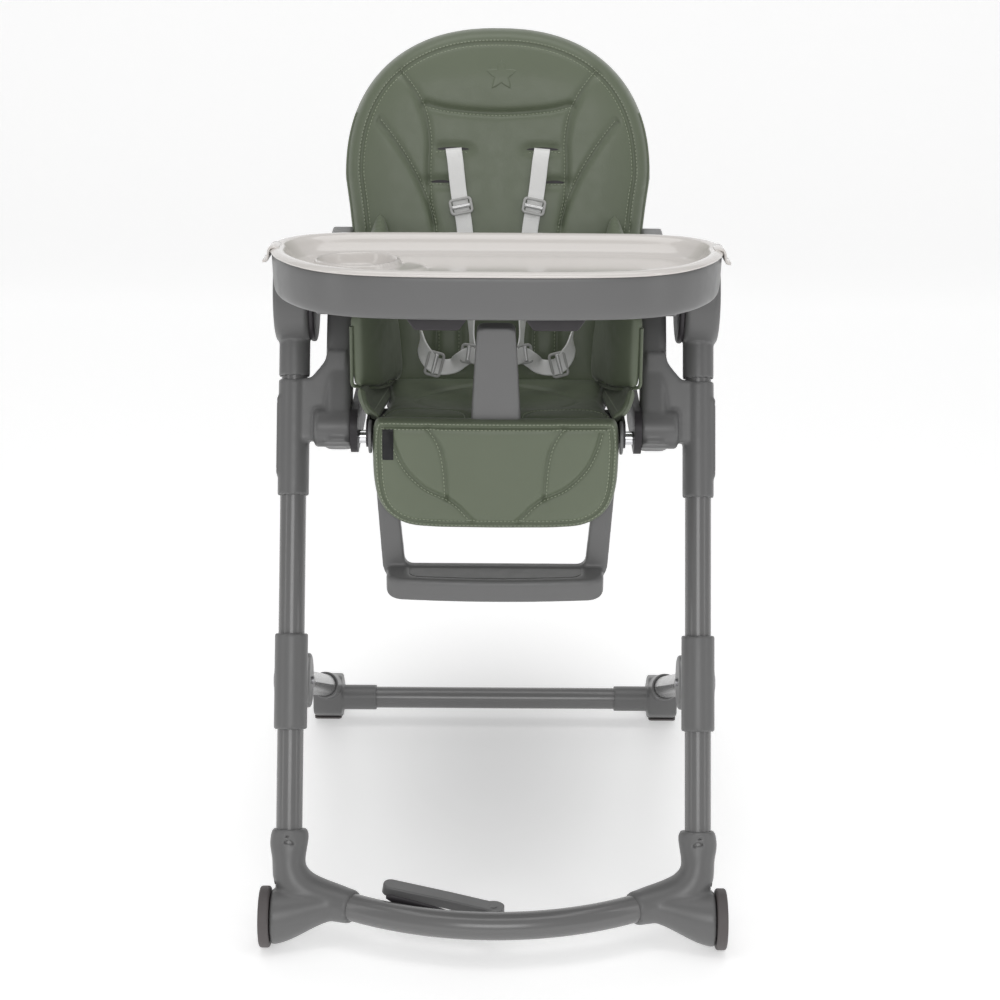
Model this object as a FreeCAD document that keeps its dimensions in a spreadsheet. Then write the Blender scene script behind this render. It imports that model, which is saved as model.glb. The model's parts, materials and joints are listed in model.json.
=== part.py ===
import FreeCAD, Part
import math
import os
import re
from types import SimpleNamespace

from FreeCAD import Placement, Rotation, Vector

# A folding high chair. X runs across the chair (+X is the sitter's left), +Y to the back, +Z up.
# The origin is on the floor, in the middle of the chair's footprint.
SIZES = {
    # front legs, which lean back; "along" is counted up the leg's axis from the floor
    "leg_spread": 252.0, "leg_foot_back": -350.0, "leg_lean": 21.5,
    "leg_radius": 16.25, "tube_wall": 1.5, "slip_gap": 0.05, "side_gap": 0.3,
    "leg_low": 75.0, "leg_length": 695.0,
    # curved front bar and the corner pieces with their castor wheels
    "bar_radius": 17.0, "bar_bend": 350.4, "bar_front": -387.0, "bar_height": 52.0, "bar_sweep": 63.8,
    "corner_top": 146.0, "corner_end": 172.0, "corner_radius": 20.0, "corner_swell": 24.5,
    "bell_radius": 33.0, "bell_side": 271.6, "bell_start": 188.0, "bell_root": 18.5,
    "wheel_radius": 37.5, "wheel_width": 13.0, "wheel_side": 286.0, "wheel_back": -340.0, "wheel_round": 3.0,
    "axle_radius": 4.0, "axle_length": 50.0, "axle_head": 9.0, "axle_head_width": 1.7,
    # collar on each front leg, with the housing of the rear leg's pivot behind it
    "collar_low": 268.0, "collar_length": 118.0, "collar_radius": 20.25,
    "pivot_along": 327.2, "pivot_behind": 42.0, "housing_radius": 34.0, "housing_width": 44.0,
    "tongue_width": 16.0, "tongue_radius": 21.0, "pin_radius": 5.0, "pin_length": 50.0,
    # rear legs; "reach" is counted from the pivot
    "rear_slope": 23.5, "rear_radius": 16.0, "rear_start": 46.0, "rear_length": 520.0,
    "knuckle_radius": 18.0, "knuckle_length": 64.0, "foot_sleeve_radius": 19.5, "foot_sleeve_length": 92.0,
    "foot_width": 43.0, "foot_side": 275.0, "pad_height": 3.0,
    "cross_back": 337.0, "cross_height": 41.0, "cross_radius": 16.0, "cross_length": 464.0,
    "cross_socket_radius": 18.5, "cross_socket_length": 55.0,
    # swinging stand on the front bar
    "stand_back": -343.0, "stand_boss": 12.0, "stand_boss_low": 33.5, "stand_thickness": 13.0,
    "stand_length": 140.0, "stand_base": 42.0, "stand_sweep": 7.6, "stand_rise": 9.6,
    # disc heads that cap the front legs
    "head_along": 810.0, "head_radius": 61.0, "head_width": 43.0, "head_socket_low": 706.0,
    "head_socket_radius": 19.0, "head_socket_length": 60.0, "cover_radius": 59.0, "cover_width": 7.0,
    "button_radius": 20.5, "button_length": 10.0, "button_bore": 14.0,
    # hangers that carry the seat on the front legs
    "slider_low": 557.0, "slider_length": 145.0, "slider_radius": 19.25,
    "column_width": 32.0, "column_depth": 46.0, "column_length": 262.0, "column_tilt": 8.2,
    "barrel_radius": 24.5, "barrel_length": 45.0, "barrel_back": -120.0, "barrel_height": 600.0,
    "web_low": 626.0, "web_depth": 32.0,
    "lever_length": 83.0, "lever_width": 16.0, "lever_thickness": 2.6, "lever_low": 590.0,
    "screw_radius": 4.5, "screw_height": 1.6,
    "plate_width": 9.0, "plate_side": 179.7, "chrome_radius": 8.5, "recline_pin_radius": 6.0,
    # seat
    "seat_width": 294.0, "seat_depth": 226.0, "seat_thickness": 24.0, "seat_tilt": 5.6,
    "seat_front": -228.0, "seat_top": 644.0, "shell_thickness": 7.0, "shell_half": 154.0, "ear_width": 3.4, "cheek_width": 7.0,
    "saddle_width": 16.0, "saddle_across": 110.0,
    # backrest, which reclines about a pivot behind the seat
    "recline_back": 5.0, "recline_height": 600.0, "recline_angle": 12.4,
    "back_half": 195.0, "back_shoulder": 290.0, "back_crown": 190.0, "back_foot_half": 150.0,
    "back_pad_front": 4.0, "back_pad_depth": 44.0, "back_shell_depth": 8.0,
    "wing_inside": 160.0, "wing_width": 17.0,
    # calf flap and leg rest
    "rest_back": -232.0, "rest_height": 623.0, "rest_half": 147.0, "rest_foot_half": 134.0, "rest_arm": 25.0,
    "rest_thickness": 14.0, "rest_low": 440.0, "board_depth": 74.0, "board_height": 22.0,
    "board_bow": 10.0, "tread_depth": 2.6,
    "flap_half": 146.5, "flap_low": 513.0, "flap_thickness": 14.0, "hinge_radius": 20.0, "hinge_width": 3.6,
    # post between the legs
    "post_low_width": 59.0, "post_top_width": 43.0, "post_depth": 18.0, "post_length": 140.0,
    # tray and its lift-out insert
    "tray_width": 528.0, "tray_depth": 300.0, "tray_middle": -240.0, "tray_top": 843.5, "tray_tilt": 2.4,
    "tray_front_round": 125.0, "tray_back_round": 90.0, "tray_height": 50.0, "tray_wall": 5.0,
    "tray_deck": 27.0, "deck_thickness": 3.0, "insert_rim": 4.0, "insert_lap": 1.0, "insert_depth": 24.0,
    "insert_wall": 3.0, "insert_inset": 16.0, "cup_radius": 46.0, "cup_across": -163.0, "cup_ring": 4.0,
    "cup_ring_height": 9.0, "snack_radius": 30.0, "snack_across": -82.0, "cup_back": 14.0,
    "rail_side": 209.0, "rail_width": 26.0, "paddle_width": 67.0, "paddle_inside": 33.0,
    "paddle_height": 30.0, "paddle_thickness": 7.0,
    # harness
    "strap_width": 20.0, "strap_thickness": 1.8, "strap_across": 44.0, "adjuster_width": 28.0,
    "adjuster_height": 20.0, "adjuster_depth": 5.0,
}

doc = FreeCAD.newDocument("HighChair")
sheet = doc.addObject("Spreadsheet::Sheet", "sizes")
for row, (alias, value) in enumerate(SIZES.items(), start=1):
    sheet.set(f"A{row}", alias)
    sheet.set(f"B{row}", str(value))
    sheet.setAlias(f"B{row}", alias)
doc.recompute()
size = SimpleNamespace(**SIZES)
nodes = {}


# ---------------------------------------------------------------- document helpers
def linked(text):
    """The formula with each word turned into a reference to the sheet's cell of that name."""
    return re.sub(r"[a-z][a-z_]+", r"sizes.\g<0>", text)


def bind(piece, **formulas):
    """Tie properties of an object to formulas over the sheet."""
    for name, text in formulas.items():
        piece.setExpression(name, linked(text))
    return piece


def keep(name, piece):
    """Register an object as a sub-part under the name of its node."""
    piece.Label = name
    nodes[name] = piece
    return piece


def at(x, y, z, turn=Rotation()):
    """Placement at a point."""
    return Placement(Vector(x, y, z), turn)


def moved(place, x, y, z, turn=Rotation()):
    """Placement given within another placement."""
    return place.multiply(at(x, y, z, turn))


ALONG_X = Rotation(Vector(0, 1, 0), 90)
ALONG_Y = Rotation(Vector(1, 0, 0), -90)


def cylinder(name, radius, length, place):
    """Cylinder from the placement's origin along its own +Z."""
    piece = bind(doc.addObject("Part::Cylinder", name), Radius=radius, Height=length)
    piece.Placement = place
    return piece


def block(name, length, width, height, place):
    """Box whose lowest corner is the placement's origin."""
    piece = bind(doc.addObject("Part::Box", name), Length=length, Width=width, Height=height)
    piece.Placement = place
    return piece


def torus(name, bend, radius, sweep, place):
    """Part of a ring, swept about the placement's own Z."""
    piece = bind(doc.addObject("Part::Torus", name), Radius1=bend, Radius2=radius, Angle3=sweep)
    piece.Placement = place
    return piece


def joined(name, *pieces):
    """Union of several objects."""
    piece = doc.addObject("Part::MultiFuse", name)
    piece.Shapes = list(pieces)
    return piece


def cut(name, base, *tools):
    """Object with one or more others taken out of it."""
    piece = doc.addObject("Part::Cut", name)
    piece.Base = base
    piece.Tool = tools[0] if len(tools) == 1 else joined(name + "_tools", *tools)
    return piece


def mirrored(name, source):
    """The same piece on the other side of the chair."""
    piece = doc.addObject("Part::Mirroring", name)
    piece.Source = source
    piece.Normal = Vector(1, 0, 0)
    return piece


def pair(name, source):
    """Left and right pieces as two nodes."""
    keep(name + "_left", source)
    keep(name + "_right", mirrored(name + "_right", source))


def group(name, *pieces):
    """Separate solids that share one node."""
    piece = doc.addObject("Part::Compound", name)
    piece.Links = list(pieces)
    return keep(name, piece)


def both_sides(name, *pieces):
    """A group of left-hand pieces and their mirror images."""
    mirrors = [mirrored(f"{piece.Name}_mirror", piece) for piece in pieces]
    return group(name, *pieces, *mirrors)


def rounded(name, base, radius, wanted=lambda edge: True):
    """Round the edges that a test picks."""
    doc.recompute()
    piece = doc.addObject("Part::Fillet", name)
    piece.Base = base
    piece.Edges = [
        (number, radius, radius) for number, edge in enumerate(base.Shape.Edges, start=1) if wanted(edge)
    ]
    return piece


def is_circle(edge):
    """True for a whole circle."""
    return isinstance(edge.Curve, Part.Circle) and edge.isClosed()


def solid(name, shape, place=Placement()):
    """Free-form shape that neither sketches nor primitives give."""
    piece = doc.addObject("Part::Feature", name)
    piece.Shape = shape
    piece.Placement = place
    return piece


# ---------------------------------------------------------------- sketch helpers
def body(name, place=Placement()):
    """PartDesign body in a frame of its own."""
    piece = doc.addObject("PartDesign::Body", name)
    piece.Placement = place
    return piece


def sketch_on(piece, role, offset=0.0):
    """Sketch on one of a body's origin planes, lifted off it along the plane's normal."""
    plane = [feature for feature in piece.Origin.OriginFeatures if feature.Role == role][0]
    sketch = piece.newObject("Sketcher::SketchObject", piece.Name + "_sketch")
    sketch.AttachmentSupport = [(plane, "")]
    sketch.MapMode = "FlatFace"
    sketch.AttachmentOffset = at(0, 0, offset)
    return sketch


def draw_outline(sketch, corners):
    """Closed outline of straight sides; each corner is (x, y, rounding radius)."""
    runs = []
    count = len(corners)
    for index in range(count):
        before = Vector(*corners[index - 1][:2], 0)
        here = Vector(*corners[index][:2], 0)
        after = Vector(*corners[(index + 1) % count][:2], 0)
        radius = corners[index][2]
        to_before = (before - here).normalize()
        to_after = (after - here).normalize()
        half = to_before.getAngle(to_after) / 2
        reach = radius / math.tan(half)
        first = here + to_before * reach
        last = here + to_after * reach
        middle = here + (to_before + to_after).normalize() * (radius / math.sin(half) - radius)
        runs.append((first, middle, last, radius))
    for index in range(count):
        first, middle, last, radius = runs[index]
        if radius > 0:
            sketch.addGeometry(Part.Arc(first, middle, last), False)
        sketch.addGeometry(Part.LineSegment(last, runs[(index + 1) % count][0]), False)


def pad(piece, sketch, length):
    """Pad of a sketch, along the sketch's normal."""
    feature = piece.newObject("PartDesign::Pad", piece.Name + "_pad")
    feature.Profile = sketch
    return bind(feature, Length=length)


def pocket(piece, sketch, length):
    """Pocket of a sketch, against the sketch's normal."""
    feature = piece.newObject("PartDesign::Pocket", piece.Name + "_pocket")
    feature.Profile = sketch
    return bind(feature, Length=length)


def plate(name, role, corners, thickness, offset=0.0, place=Placement(), hole=None):
    """Flat body: an outline, with an optional hole, given a thickness."""
    piece = body(name, place)
    sketch = sketch_on(piece, role, offset)
    draw_outline(sketch, corners)
    if hole:
        draw_outline(sketch, hole)
    pad(piece, sketch, thickness)
    return piece


def turned_piece(name, corners, place=Placement()):
    """Body turned about its own X axis; each corner is (x, radius, rounding)."""
    piece = body(name, place)
    sketch = sketch_on(piece, "XY_Plane")
    draw_outline(sketch, corners)
    feature = piece.newObject("PartDesign::Revolution", name + "_turn")
    feature.Profile = sketch
    feature.ReferenceAxis = (sketch, ["H_Axis"])
    feature.Angle = 360
    return piece


# ---------------------------------------------------------------- frames of reference
leg_turn = Rotation(Vector(1, 0, 0), -size.leg_lean)
leg_frame = at(-size.leg_spread, size.leg_foot_back, 0, leg_turn)
pivot = leg_frame.multVec(Vector(0, size.pivot_behind, size.pivot_along))
rear_frame = Placement(pivot, Rotation(Vector(1, 0, 0), -size.rear_slope))
back_frame = at(0, size.recline_back, size.recline_height, Rotation(Vector(1, 0, 0), -size.recline_angle))
tray_frame = at(0, size.tray_middle, size.tray_top, Rotation(Vector(1, 0, 0), -size.tray_tilt))
seat_frame = at(0, size.seat_front, size.seat_top, Rotation(Vector(1, 0, 0), -size.seat_tilt))


# ---------------------------------------------------------------- front frame
def make_front_bar():
    """Curved tube across the front, joining the two corner pieces."""
    place = at(0, size.bar_front + size.bar_bend, size.bar_height,
               Rotation(Vector(0, 0, 1), -90 - size.bar_sweep / 2))
    outside = torus("bar_outside", "bar_bend", "bar_radius", "bar_sweep", place)
    inside = torus("bar_inside", "bar_bend", "bar_radius - tube_wall", "bar_sweep", place)
    keep("front_base_bar", cut("front_base_bar", outside, inside))


def section_ring(point, direction, radius):
    """Circle across a path, started at the same side each time so that a loft doesn't twist."""
    across = direction.cross(Vector(0, 1, 0)).normalize()
    ring = Part.Wire(Part.makeCircle(radius))
    ring.Placement = Placement(point, Rotation(across, direction.cross(across), direction, "ZXY"))
    return ring


def make_corners():
    """Boot-shaped corner: leg socket above, swept round to the front bar, with the wheel's bell outside."""
    down = leg_turn.multVec(Vector(0, 0, -1))
    top = leg_frame.multVec(Vector(0, 0, size.corner_top))
    start = leg_frame.multVec(Vector(0, 0, size.corner_top - 38))
    angle = math.asin(size.corner_end / size.bar_bend)
    middle = size.bar_front + size.bar_bend
    end = Vector(-size.corner_end, middle - size.bar_bend * math.cos(angle), size.bar_height)
    inward = Vector(math.cos(angle), -math.sin(angle), 0)
    curve = Part.BezierCurve()
    curve.setPoles([start, start + down * 46, end - inward * 46, end])
    rings = [section_ring(top, down, size.corner_radius)]
    steps = 6
    for step in range(steps + 1):
        share = step / steps
        swell = (size.corner_swell - size.corner_radius) * math.sin(math.pi * share)
        rings.append(section_ring(curve.value(share), curve.tangent(share)[0], size.corner_radius + swell))
    elbow = Part.makeLoft(rings, True, False)
    bell_rings = []
    for step in range(steps + 1):
        share = step / steps
        swell = share * share * (3 - 2 * share)
        centre = Vector(-size.bell_start - (size.bell_side - size.bell_start) * share,
                        size.wheel_back + 6 * (1 - share),
                        size.bar_height + (size.wheel_radius - size.bar_height) * swell)
        radius = size.bell_root + (size.bell_radius - size.bell_root) * swell
        bell_rings.append(section_ring(centre, Vector(-1, 0, 0), radius))
    bell = Part.makeLoft(bell_rings, True, False)
    bore = Part.makeCylinder(size.leg_radius + size.slip_gap, size.corner_top,
                             leg_frame.multVec(Vector(0, 0, size.leg_low)), down * -1)
    pair("front_corner", solid("front_corner_left", elbow.fuse(bell).cut(bore).removeSplitter()))


def make_wheels():
    """Plain castor wheel with a dished outer face, turning on a headed axle."""
    bore = size.axle_radius + size.slip_gap
    wheel = turned_piece("front_wheel_left", [
        (size.wheel_width, bore, 0), (size.wheel_width, size.wheel_radius, size.wheel_round),
        (0, size.wheel_radius, size.wheel_round), (0, size.wheel_radius - 7, 1),
        (3, size.wheel_radius - 9, 1), (3, size.axle_head + 6, 1), (1, size.axle_head + 4, 0), (1, bore, 0),
    ], at(-size.wheel_side, size.wheel_back, size.wheel_radius))
    pair("front_wheel", wheel)
    stem_place = at(-size.wheel_side - 0.2, size.wheel_back, size.wheel_radius, ALONG_X)
    stem = cylinder("axle_stem", "axle_radius", "axle_length", stem_place)
    head = cylinder("axle_head", "axle_head", "axle_head_width",
                    at(-size.wheel_side - 1.2, size.wheel_back, size.wheel_radius, ALONG_X))
    both_sides("wheel_axles", joined("axle", stem, head))


def make_front_legs():
    """Round leg tubes, with a collar that houses the rear leg's pivot."""
    low = moved(leg_frame, 0, 0, size.leg_low)
    tube = cut("front_leg_left", cylinder("leg_outside", "leg_radius", "leg_length", low),
               cylinder("leg_inside", "leg_radius - tube_wall", "leg_length", low))
    pair("front_leg", tube)
    collar_low = moved(leg_frame, 0, 0, size.collar_low)
    sleeve = rounded("collar_sleeve", cylinder("collar_blank", "collar_radius", "collar_length", collar_low),
                     1.5, is_circle)
    half = size.housing_width / 2
    centre = moved(leg_frame, -half, size.pivot_behind, size.pivot_along, ALONG_X)
    housing = rounded("housing", cylinder("housing_blank", "housing_radius", "housing_width", centre),
                      3.0, is_circle)
    web = block("housing_web", "collar_radius * 2 - 1", "pivot_behind", "housing_radius * 2 - 10",
                moved(leg_frame, -size.collar_radius + 0.5, 0, size.pivot_along - size.housing_radius + 5))
    bore = cylinder("collar_bore", "leg_radius + slip_gap", "collar_length * 2",
                    moved(leg_frame, 0, 0, size.collar_low - size.collar_length / 2))
    slot_half = size.tongue_width / 2 + size.side_gap
    slot = block("housing_slot", "tongue_width + side_gap * 2", "housing_radius * 2", "housing_radius * 2",
                 moved(leg_frame, -slot_half, size.pivot_behind - size.tongue_radius - 1,
                       size.pivot_along - size.tongue_radius - 1))
    pin_bore = cylinder("housing_bore", "pin_radius + slip_gap", "pin_length * 2",
                        moved(leg_frame, -size.pin_length, size.pivot_behind, size.pivot_along, ALONG_X))
    collar = cut("leg_collar_left", joined("collar_body", sleeve, housing, web), bore, slot, pin_bore)
    pair("leg_collar", collar)
    pin = cylinder("pivot_pin", "pin_radius", "pin_length",
                   moved(leg_frame, -size.pin_length / 2, size.pivot_behind, size.pivot_along, ALONG_X))
    head = cylinder("pivot_pin_head", "pin_radius * 1.8", "3",
                    moved(leg_frame, -size.pin_length / 2, size.pivot_behind, size.pivot_along, ALONG_X))
    both_sides("pivot_pins", joined("pivot_rivet", pin, head))


def make_leg_heads():
    """Disc head on each leg's top, with a push button outside and a dark cover inside."""
    outer = size.head_width - 20
    place = moved(leg_frame, -outer, 0, size.head_along, ALONG_X)
    disc = rounded("head_disc", cylinder("head_blank", "head_radius", "head_width", place), 7.0, is_circle)
    socket = cylinder("head_socket", "head_socket_radius", "head_socket_length",
                      moved(leg_frame, 0, 0, size.head_socket_low))
    bore = cylinder("head_bore", "leg_radius + slip_gap", "leg_length",
                    moved(leg_frame, 0, 0, size.leg_low + 2))
    recess = cylinder("button_recess", "button_radius + 0.5", "button_bore", place)
    pair("leg_head", cut("leg_head_left", joined("head_body", disc, socket), bore, recess))
    cover_blank = cylinder("cover_blank", "cover_radius", "cover_width",
                           moved(leg_frame, 20, 0, size.head_along, ALONG_X))
    pair("leg_head_cover", rounded("leg_head_cover_left", cover_blank, 3.0, is_circle))
    button_place = moved(leg_frame, -outer - 2.5, 0, size.head_along, ALONG_X)
    button_blank = cylinder("button_blank", "button_radius", "button_length", button_place)
    pair("fold_button", rounded("fold_button_left", button_blank, 1.5, is_circle))


def make_stand():
    """Swinging stand: a bracket behind the front bar and an arm that turns on its boss."""
    boss_top = size.stand_base - size.side_gap
    boss = cylinder("stand_boss", "stand_boss", "stand_base - side_gap - stand_boss_low",
                    at(0, size.stand_back, size.stand_boss_low))
    bracket = block("stand_bracket", "stand_boss * 2", "stand_back - bar_front",
                    "stand_base - side_gap - stand_boss_low",
                    at(-size.stand_boss, size.bar_front, size.stand_boss_low))
    peg = cylinder("stand_peg", "pin_radius", "stand_thickness + 2", at(0, size.stand_back, boss_top - 1))
    bore = cylinder("stand_seat", "bar_radius - 0.6", "stand_boss * 4",
                    at(-size.stand_boss * 2, size.bar_front, size.bar_height, ALONG_X))
    keep("stand_clip", cut("stand_clip", joined("stand_mount", boss, bracket, peg), bore))
    reach = size.stand_length
    turn = Rotation(Vector(0, 0, 1), -size.stand_sweep).multiply(Rotation(Vector(0, 1, 0), size.stand_rise))
    arm = plate("stand_arm", "XY_Plane", [
        (0, -12, 3), (0, 12, 3), (-reach * 0.4, 13, 60), (-reach, 12, 11), (-reach, -12, 11),
        (-reach * 0.4, -10, 60),
    ], "stand_thickness", 0.0, at(0, size.stand_back, size.stand_base, turn))
    hub = cylinder("stand_hub", "stand_boss + 2", "stand_thickness", at(0, size.stand_back, size.stand_base))
    bore = cylinder("stand_bore", "pin_radius + slip_gap", "60", at(0, size.stand_back, size.stand_base - 20))
    keep("kick_stand", cut("kick_stand", joined("stand_body", rounded("stand_arm_round", arm, 2.0), hub), bore))


# ---------------------------------------------------------------- rear frame
def make_rear_frame():
    """Rear legs on their tongues, feet with rubber soles, and the crossbar between them."""
    start = moved(rear_frame, 0, size.rear_start, 0, ALONG_Y)
    tube = cut("rear_leg_left", cylinder("rear_outside", "rear_radius", "rear_length", start),
               cylinder("rear_inside", "rear_radius - tube_wall", "rear_length", start))
    pair("rear_leg", tube)
    half = size.tongue_width / 2
    disc = cylinder("tongue_disc", "tongue_radius", "tongue_width", moved(rear_frame, -half, 0, 0, ALONG_X))
    bar = block("tongue_bar", "tongue_width", "rear_start + 6", "tongue_radius * 1.4",
                moved(rear_frame, -half, 0, -size.tongue_radius * 0.7))
    sleeve = rounded("knuckle_sleeve", cylinder("knuckle_blank", "knuckle_radius", "knuckle_length",
                                                moved(rear_frame, 0, size.rear_start - 6, 0, ALONG_Y)),
                     1.5, is_circle)
    bore = cylinder("knuckle_bore", "rear_radius + slip_gap", "knuckle_length",
                    moved(rear_frame, 0, size.rear_start - 1, 0, ALONG_Y))
    hole = cylinder("tongue_hole", "pin_radius + slip_gap", "pin_length",
                    moved(rear_frame, -size.pin_length / 2, 0, 0, ALONG_X))
    tongue_tail = cut("knuckle_socket", joined("knuckle_body", sleeve, disc, bar), bore, hole)
    pair("rear_leg_knuckle", tongue_tail)

    tube_end = size.rear_start + size.rear_length
    sleeve = rounded("foot_sleeve", cylinder("foot_sleeve_blank", "foot_sleeve_radius", "foot_sleeve_length",
                                             moved(rear_frame, 0, tube_end - 72, 0, ALONG_Y)), 1.5, is_circle)
    inner = size.foot_side - size.foot_width
    block_body = plate("foot_block", "YZ_Plane", [
        (316, 62, 12), (316, 22, 14), (352, size.pad_height, 6), (398, size.pad_height, 4),
        (404, 12, 5), (402, 36, 14), (372, 66, 16), (340, 74, 12),
    ], "foot_width", -size.foot_side)
    foot_block = rounded("foot_rounded", block_body, 2.5,
                         lambda edge: abs(edge.BoundBox.XMax - edge.BoundBox.XMin) < 0.01)
    socket = cylinder("cross_socket", "cross_socket_radius", "cross_socket_length",
                      at(-inner - 3, size.cross_back, size.cross_height, ALONG_X))
    tube_bore = cylinder("foot_bore", "rear_radius + slip_gap", "rear_length",
                         moved(rear_frame, 0, size.rear_start + 0.5, 0, ALONG_Y))
    cross_bore = cylinder("cross_bore", "cross_radius + slip_gap", "cross_length / 2",
                          at(-size.cross_length / 2 - 0.5, size.cross_back, size.cross_height, ALONG_X))
    foot = cut("rear_foot_left", joined("foot_body", sleeve, foot_block, socket), tube_bore, cross_bore)
    pair("rear_foot", foot)
    sole = plate("sole", "XY_Plane", [
        (-size.foot_side - 1, 348, 5), (-size.foot_side - 1, 399, 5), (-inner - 3, 399, 5), (-inner - 3, 348, 5),
    ], "pad_height", 0.0)
    both_sides("rear_foot_pads", sole)
    place = at(-size.cross_length / 2, size.cross_back, size.cross_height, ALONG_X)
    keep("rear_crossbar", cut("rear_crossbar", cylinder("cross_outside", "cross_radius", "cross_length", place),
                              cylinder("cross_inside", "cross_radius - tube_wall", "cross_length", place)))


# ---------------------------------------------------------------- seat carriage
def make_hangers():
    """Slider on the front leg, bridged to an upright column with the seat's barrel at its foot."""
    inward = size.leg_spread - 212.0
    barrel_local = leg_frame.inverse().multVec(Vector(-size.leg_spread, size.barrel_back, size.barrel_height))
    slider = rounded("slider", cylinder("slider_blank", "slider_radius", "slider_length",
                                        moved(leg_frame, 0, 0, size.slider_low)), 1.5, is_circle)
    seat = block("lever_seat", "8", "lever_width + 8", "lever_length + 14",
                 moved(leg_frame, -size.slider_radius - 1.5, -size.lever_width / 2 - 4, size.lever_low - 7))
    seat = rounded("lever_seat_round", seat, 3.0, lambda edge: edge.Length < 9)
    top = size.slider_low + size.slider_length
    far = inward + size.column_width - 6
    web = plate("hanger_web", "XZ_Plane", [
        (0, size.web_low, 2), (far, size.web_low, 8), (far, top + 36, 2), (inward + 1, top + 36, 4),
        (inward + 1, top + 24, 24), (22, top + 1, 8), (0, top + 1, 1),
    ], "web_depth", -size.web_depth / 2, leg_frame)
    column_place = moved(leg_frame, inward, barrel_local.y - size.column_depth / 2, barrel_local.z - 20,
                         Rotation(Vector(1, 0, 0), -size.column_tilt))
    column = block("column", "column_width", "column_depth", "column_length", column_place)
    column = rounded("column_round", column, 9.0, lambda edge: edge.Length > size.column_length - 1)
    barrel_place = moved(leg_frame, inward + size.column_width - size.barrel_length,
                         barrel_local.y, barrel_local.z, ALONG_X)
    barrel = rounded("barrel", cylinder("barrel_blank", "barrel_radius", "barrel_length", barrel_place),
                     3.0, is_circle)
    bore = cylinder("slider_bore", "leg_radius + slip_gap", "slider_length * 2",
                    moved(leg_frame, 0, 0, size.slider_low - size.slider_length / 2))
    pocket_low = size.lever_low - 2
    window = block("lever_pocket", "8", "lever_width + 1", "lever_length + 4",
                   moved(leg_frame, -26.1, -size.lever_width / 2 - 0.5, pocket_low))
    hanger = cut("hanger_left", joined("hanger_body", slider, seat, web, column, barrel), bore, window)
    pair("hanger", hanger)
    lever = block("height_lever_blank", "lever_thickness", "lever_width", "lever_length",
                  moved(leg_frame, -21.0, -size.lever_width / 2, size.lever_low))
    pair("height_lever", rounded("height_lever_left", lever, 1.2))
    spot = moved(column_place, size.column_width + 0.02, size.column_depth * 0.35, size.column_length * 0.46,
                 ALONG_X)
    both_sides("hanger_screws", cylinder("screw", "screw_radius", "screw_height", spot))


def make_seat_base():
    """Dark side plates, bright cross tube, moulded seat shell and the seat cushion."""
    low = size.barrel_height
    side = plate("tilt_plate_left", "YZ_Plane", [
        (size.barrel_back - 32, low - 30, 26), (size.recline_back + 28, low - 27, 24),
        (size.recline_back + 28, low + 27, 24), (size.barrel_back - 32, low + 26, 24),
    ], "plate_width", -size.plate_side)
    pair("tilt_plate", side)
    reach = size.plate_side - size.plate_width
    tube = bind(doc.addObject("Part::Cylinder", "cross_tube"),
                Radius="chrome_radius", Height="plate_side * 2 - plate_width * 2")
    tube.Placement = at(-reach, size.barrel_back, size.barrel_height - 12, ALONG_X)
    keep("cross_tube", tube)
    pin = cylinder("recline_pin", "recline_pin_radius", "22",
                   at(-size.plate_side - 0.2, size.recline_back, size.recline_height, ALONG_X))
    both_sides("recline_pins", pin)
    under = size.seat_thickness + size.side_gap
    base = block("shell_base", "shell_half * 2 - 1.2", "seat_depth - 30", "shell_thickness",
                 moved(seat_frame, 0.6 - size.shell_half, 4, -under - size.shell_thickness))
    base = rounded("shell_base_round", base, 3.0)
    cheek = plate("shell_cheek", "YZ_Plane", [
        (-250, 610, 16), (-30, 600, 8), (-30, 630, 14), (-60, 642, 30), (-250, 642, 16),
    ], "ear_width", -size.shell_half)
    saddle = block("shell_saddle", "saddle_width", "chrome_radius * 2 + 8", "chrome_radius * 2 + 5",
                   at(-size.saddle_across - size.saddle_width, size.barrel_back - size.chrome_radius - 4,
                      size.barrel_height - 16))
    bore = cylinder("shell_bore", "chrome_radius + slip_gap", "plate_side * 2",
                    at(-size.plate_side, size.barrel_back, size.barrel_height - 12, ALONG_X))
    shell = joined("shell_body", base, cheek, mirrored("shell_cheek_mirror", cheek), saddle,
                   mirrored("shell_saddle_mirror", saddle))
    keep("seat_shell", cut("seat_shell", shell, bore))
    half = size.seat_width / 2
    cushion = plate("seat_cushion", "XY_Plane", [
        (-half, 0, 40), (half, 0, 40), (half, size.seat_depth, 20), (-half, size.seat_depth, 20),
    ], "seat_thickness", -size.seat_thickness, seat_frame)
    slot = block("post_slot", "post_low_width + 6", "post_depth + 8", "60",
                 at(-size.post_low_width / 2 - 3, size.seat_front - 6, size.seat_top - 50))
    keep("seat_pad", cut("seat_pad", cushion, slot))


def make_post():
    """Upright post between the legs, narrower at its top."""
    low = size.post_low_width / 2
    top = size.post_top_width / 2
    place = at(0, size.seat_front - 2, size.seat_top, Rotation(Vector(1, 0, 0), 16))
    post = plate("post_blank", "XZ_Plane", [
        (-low, 0, 4), (low, 0, 4), (top, size.post_length, 8), (-top, size.post_length, 8),
    ], "post_depth", 0.0, place)
    keep("crotch_post", rounded("crotch_post", post, 3.0, lambda edge: edge.Length > 60))


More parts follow.
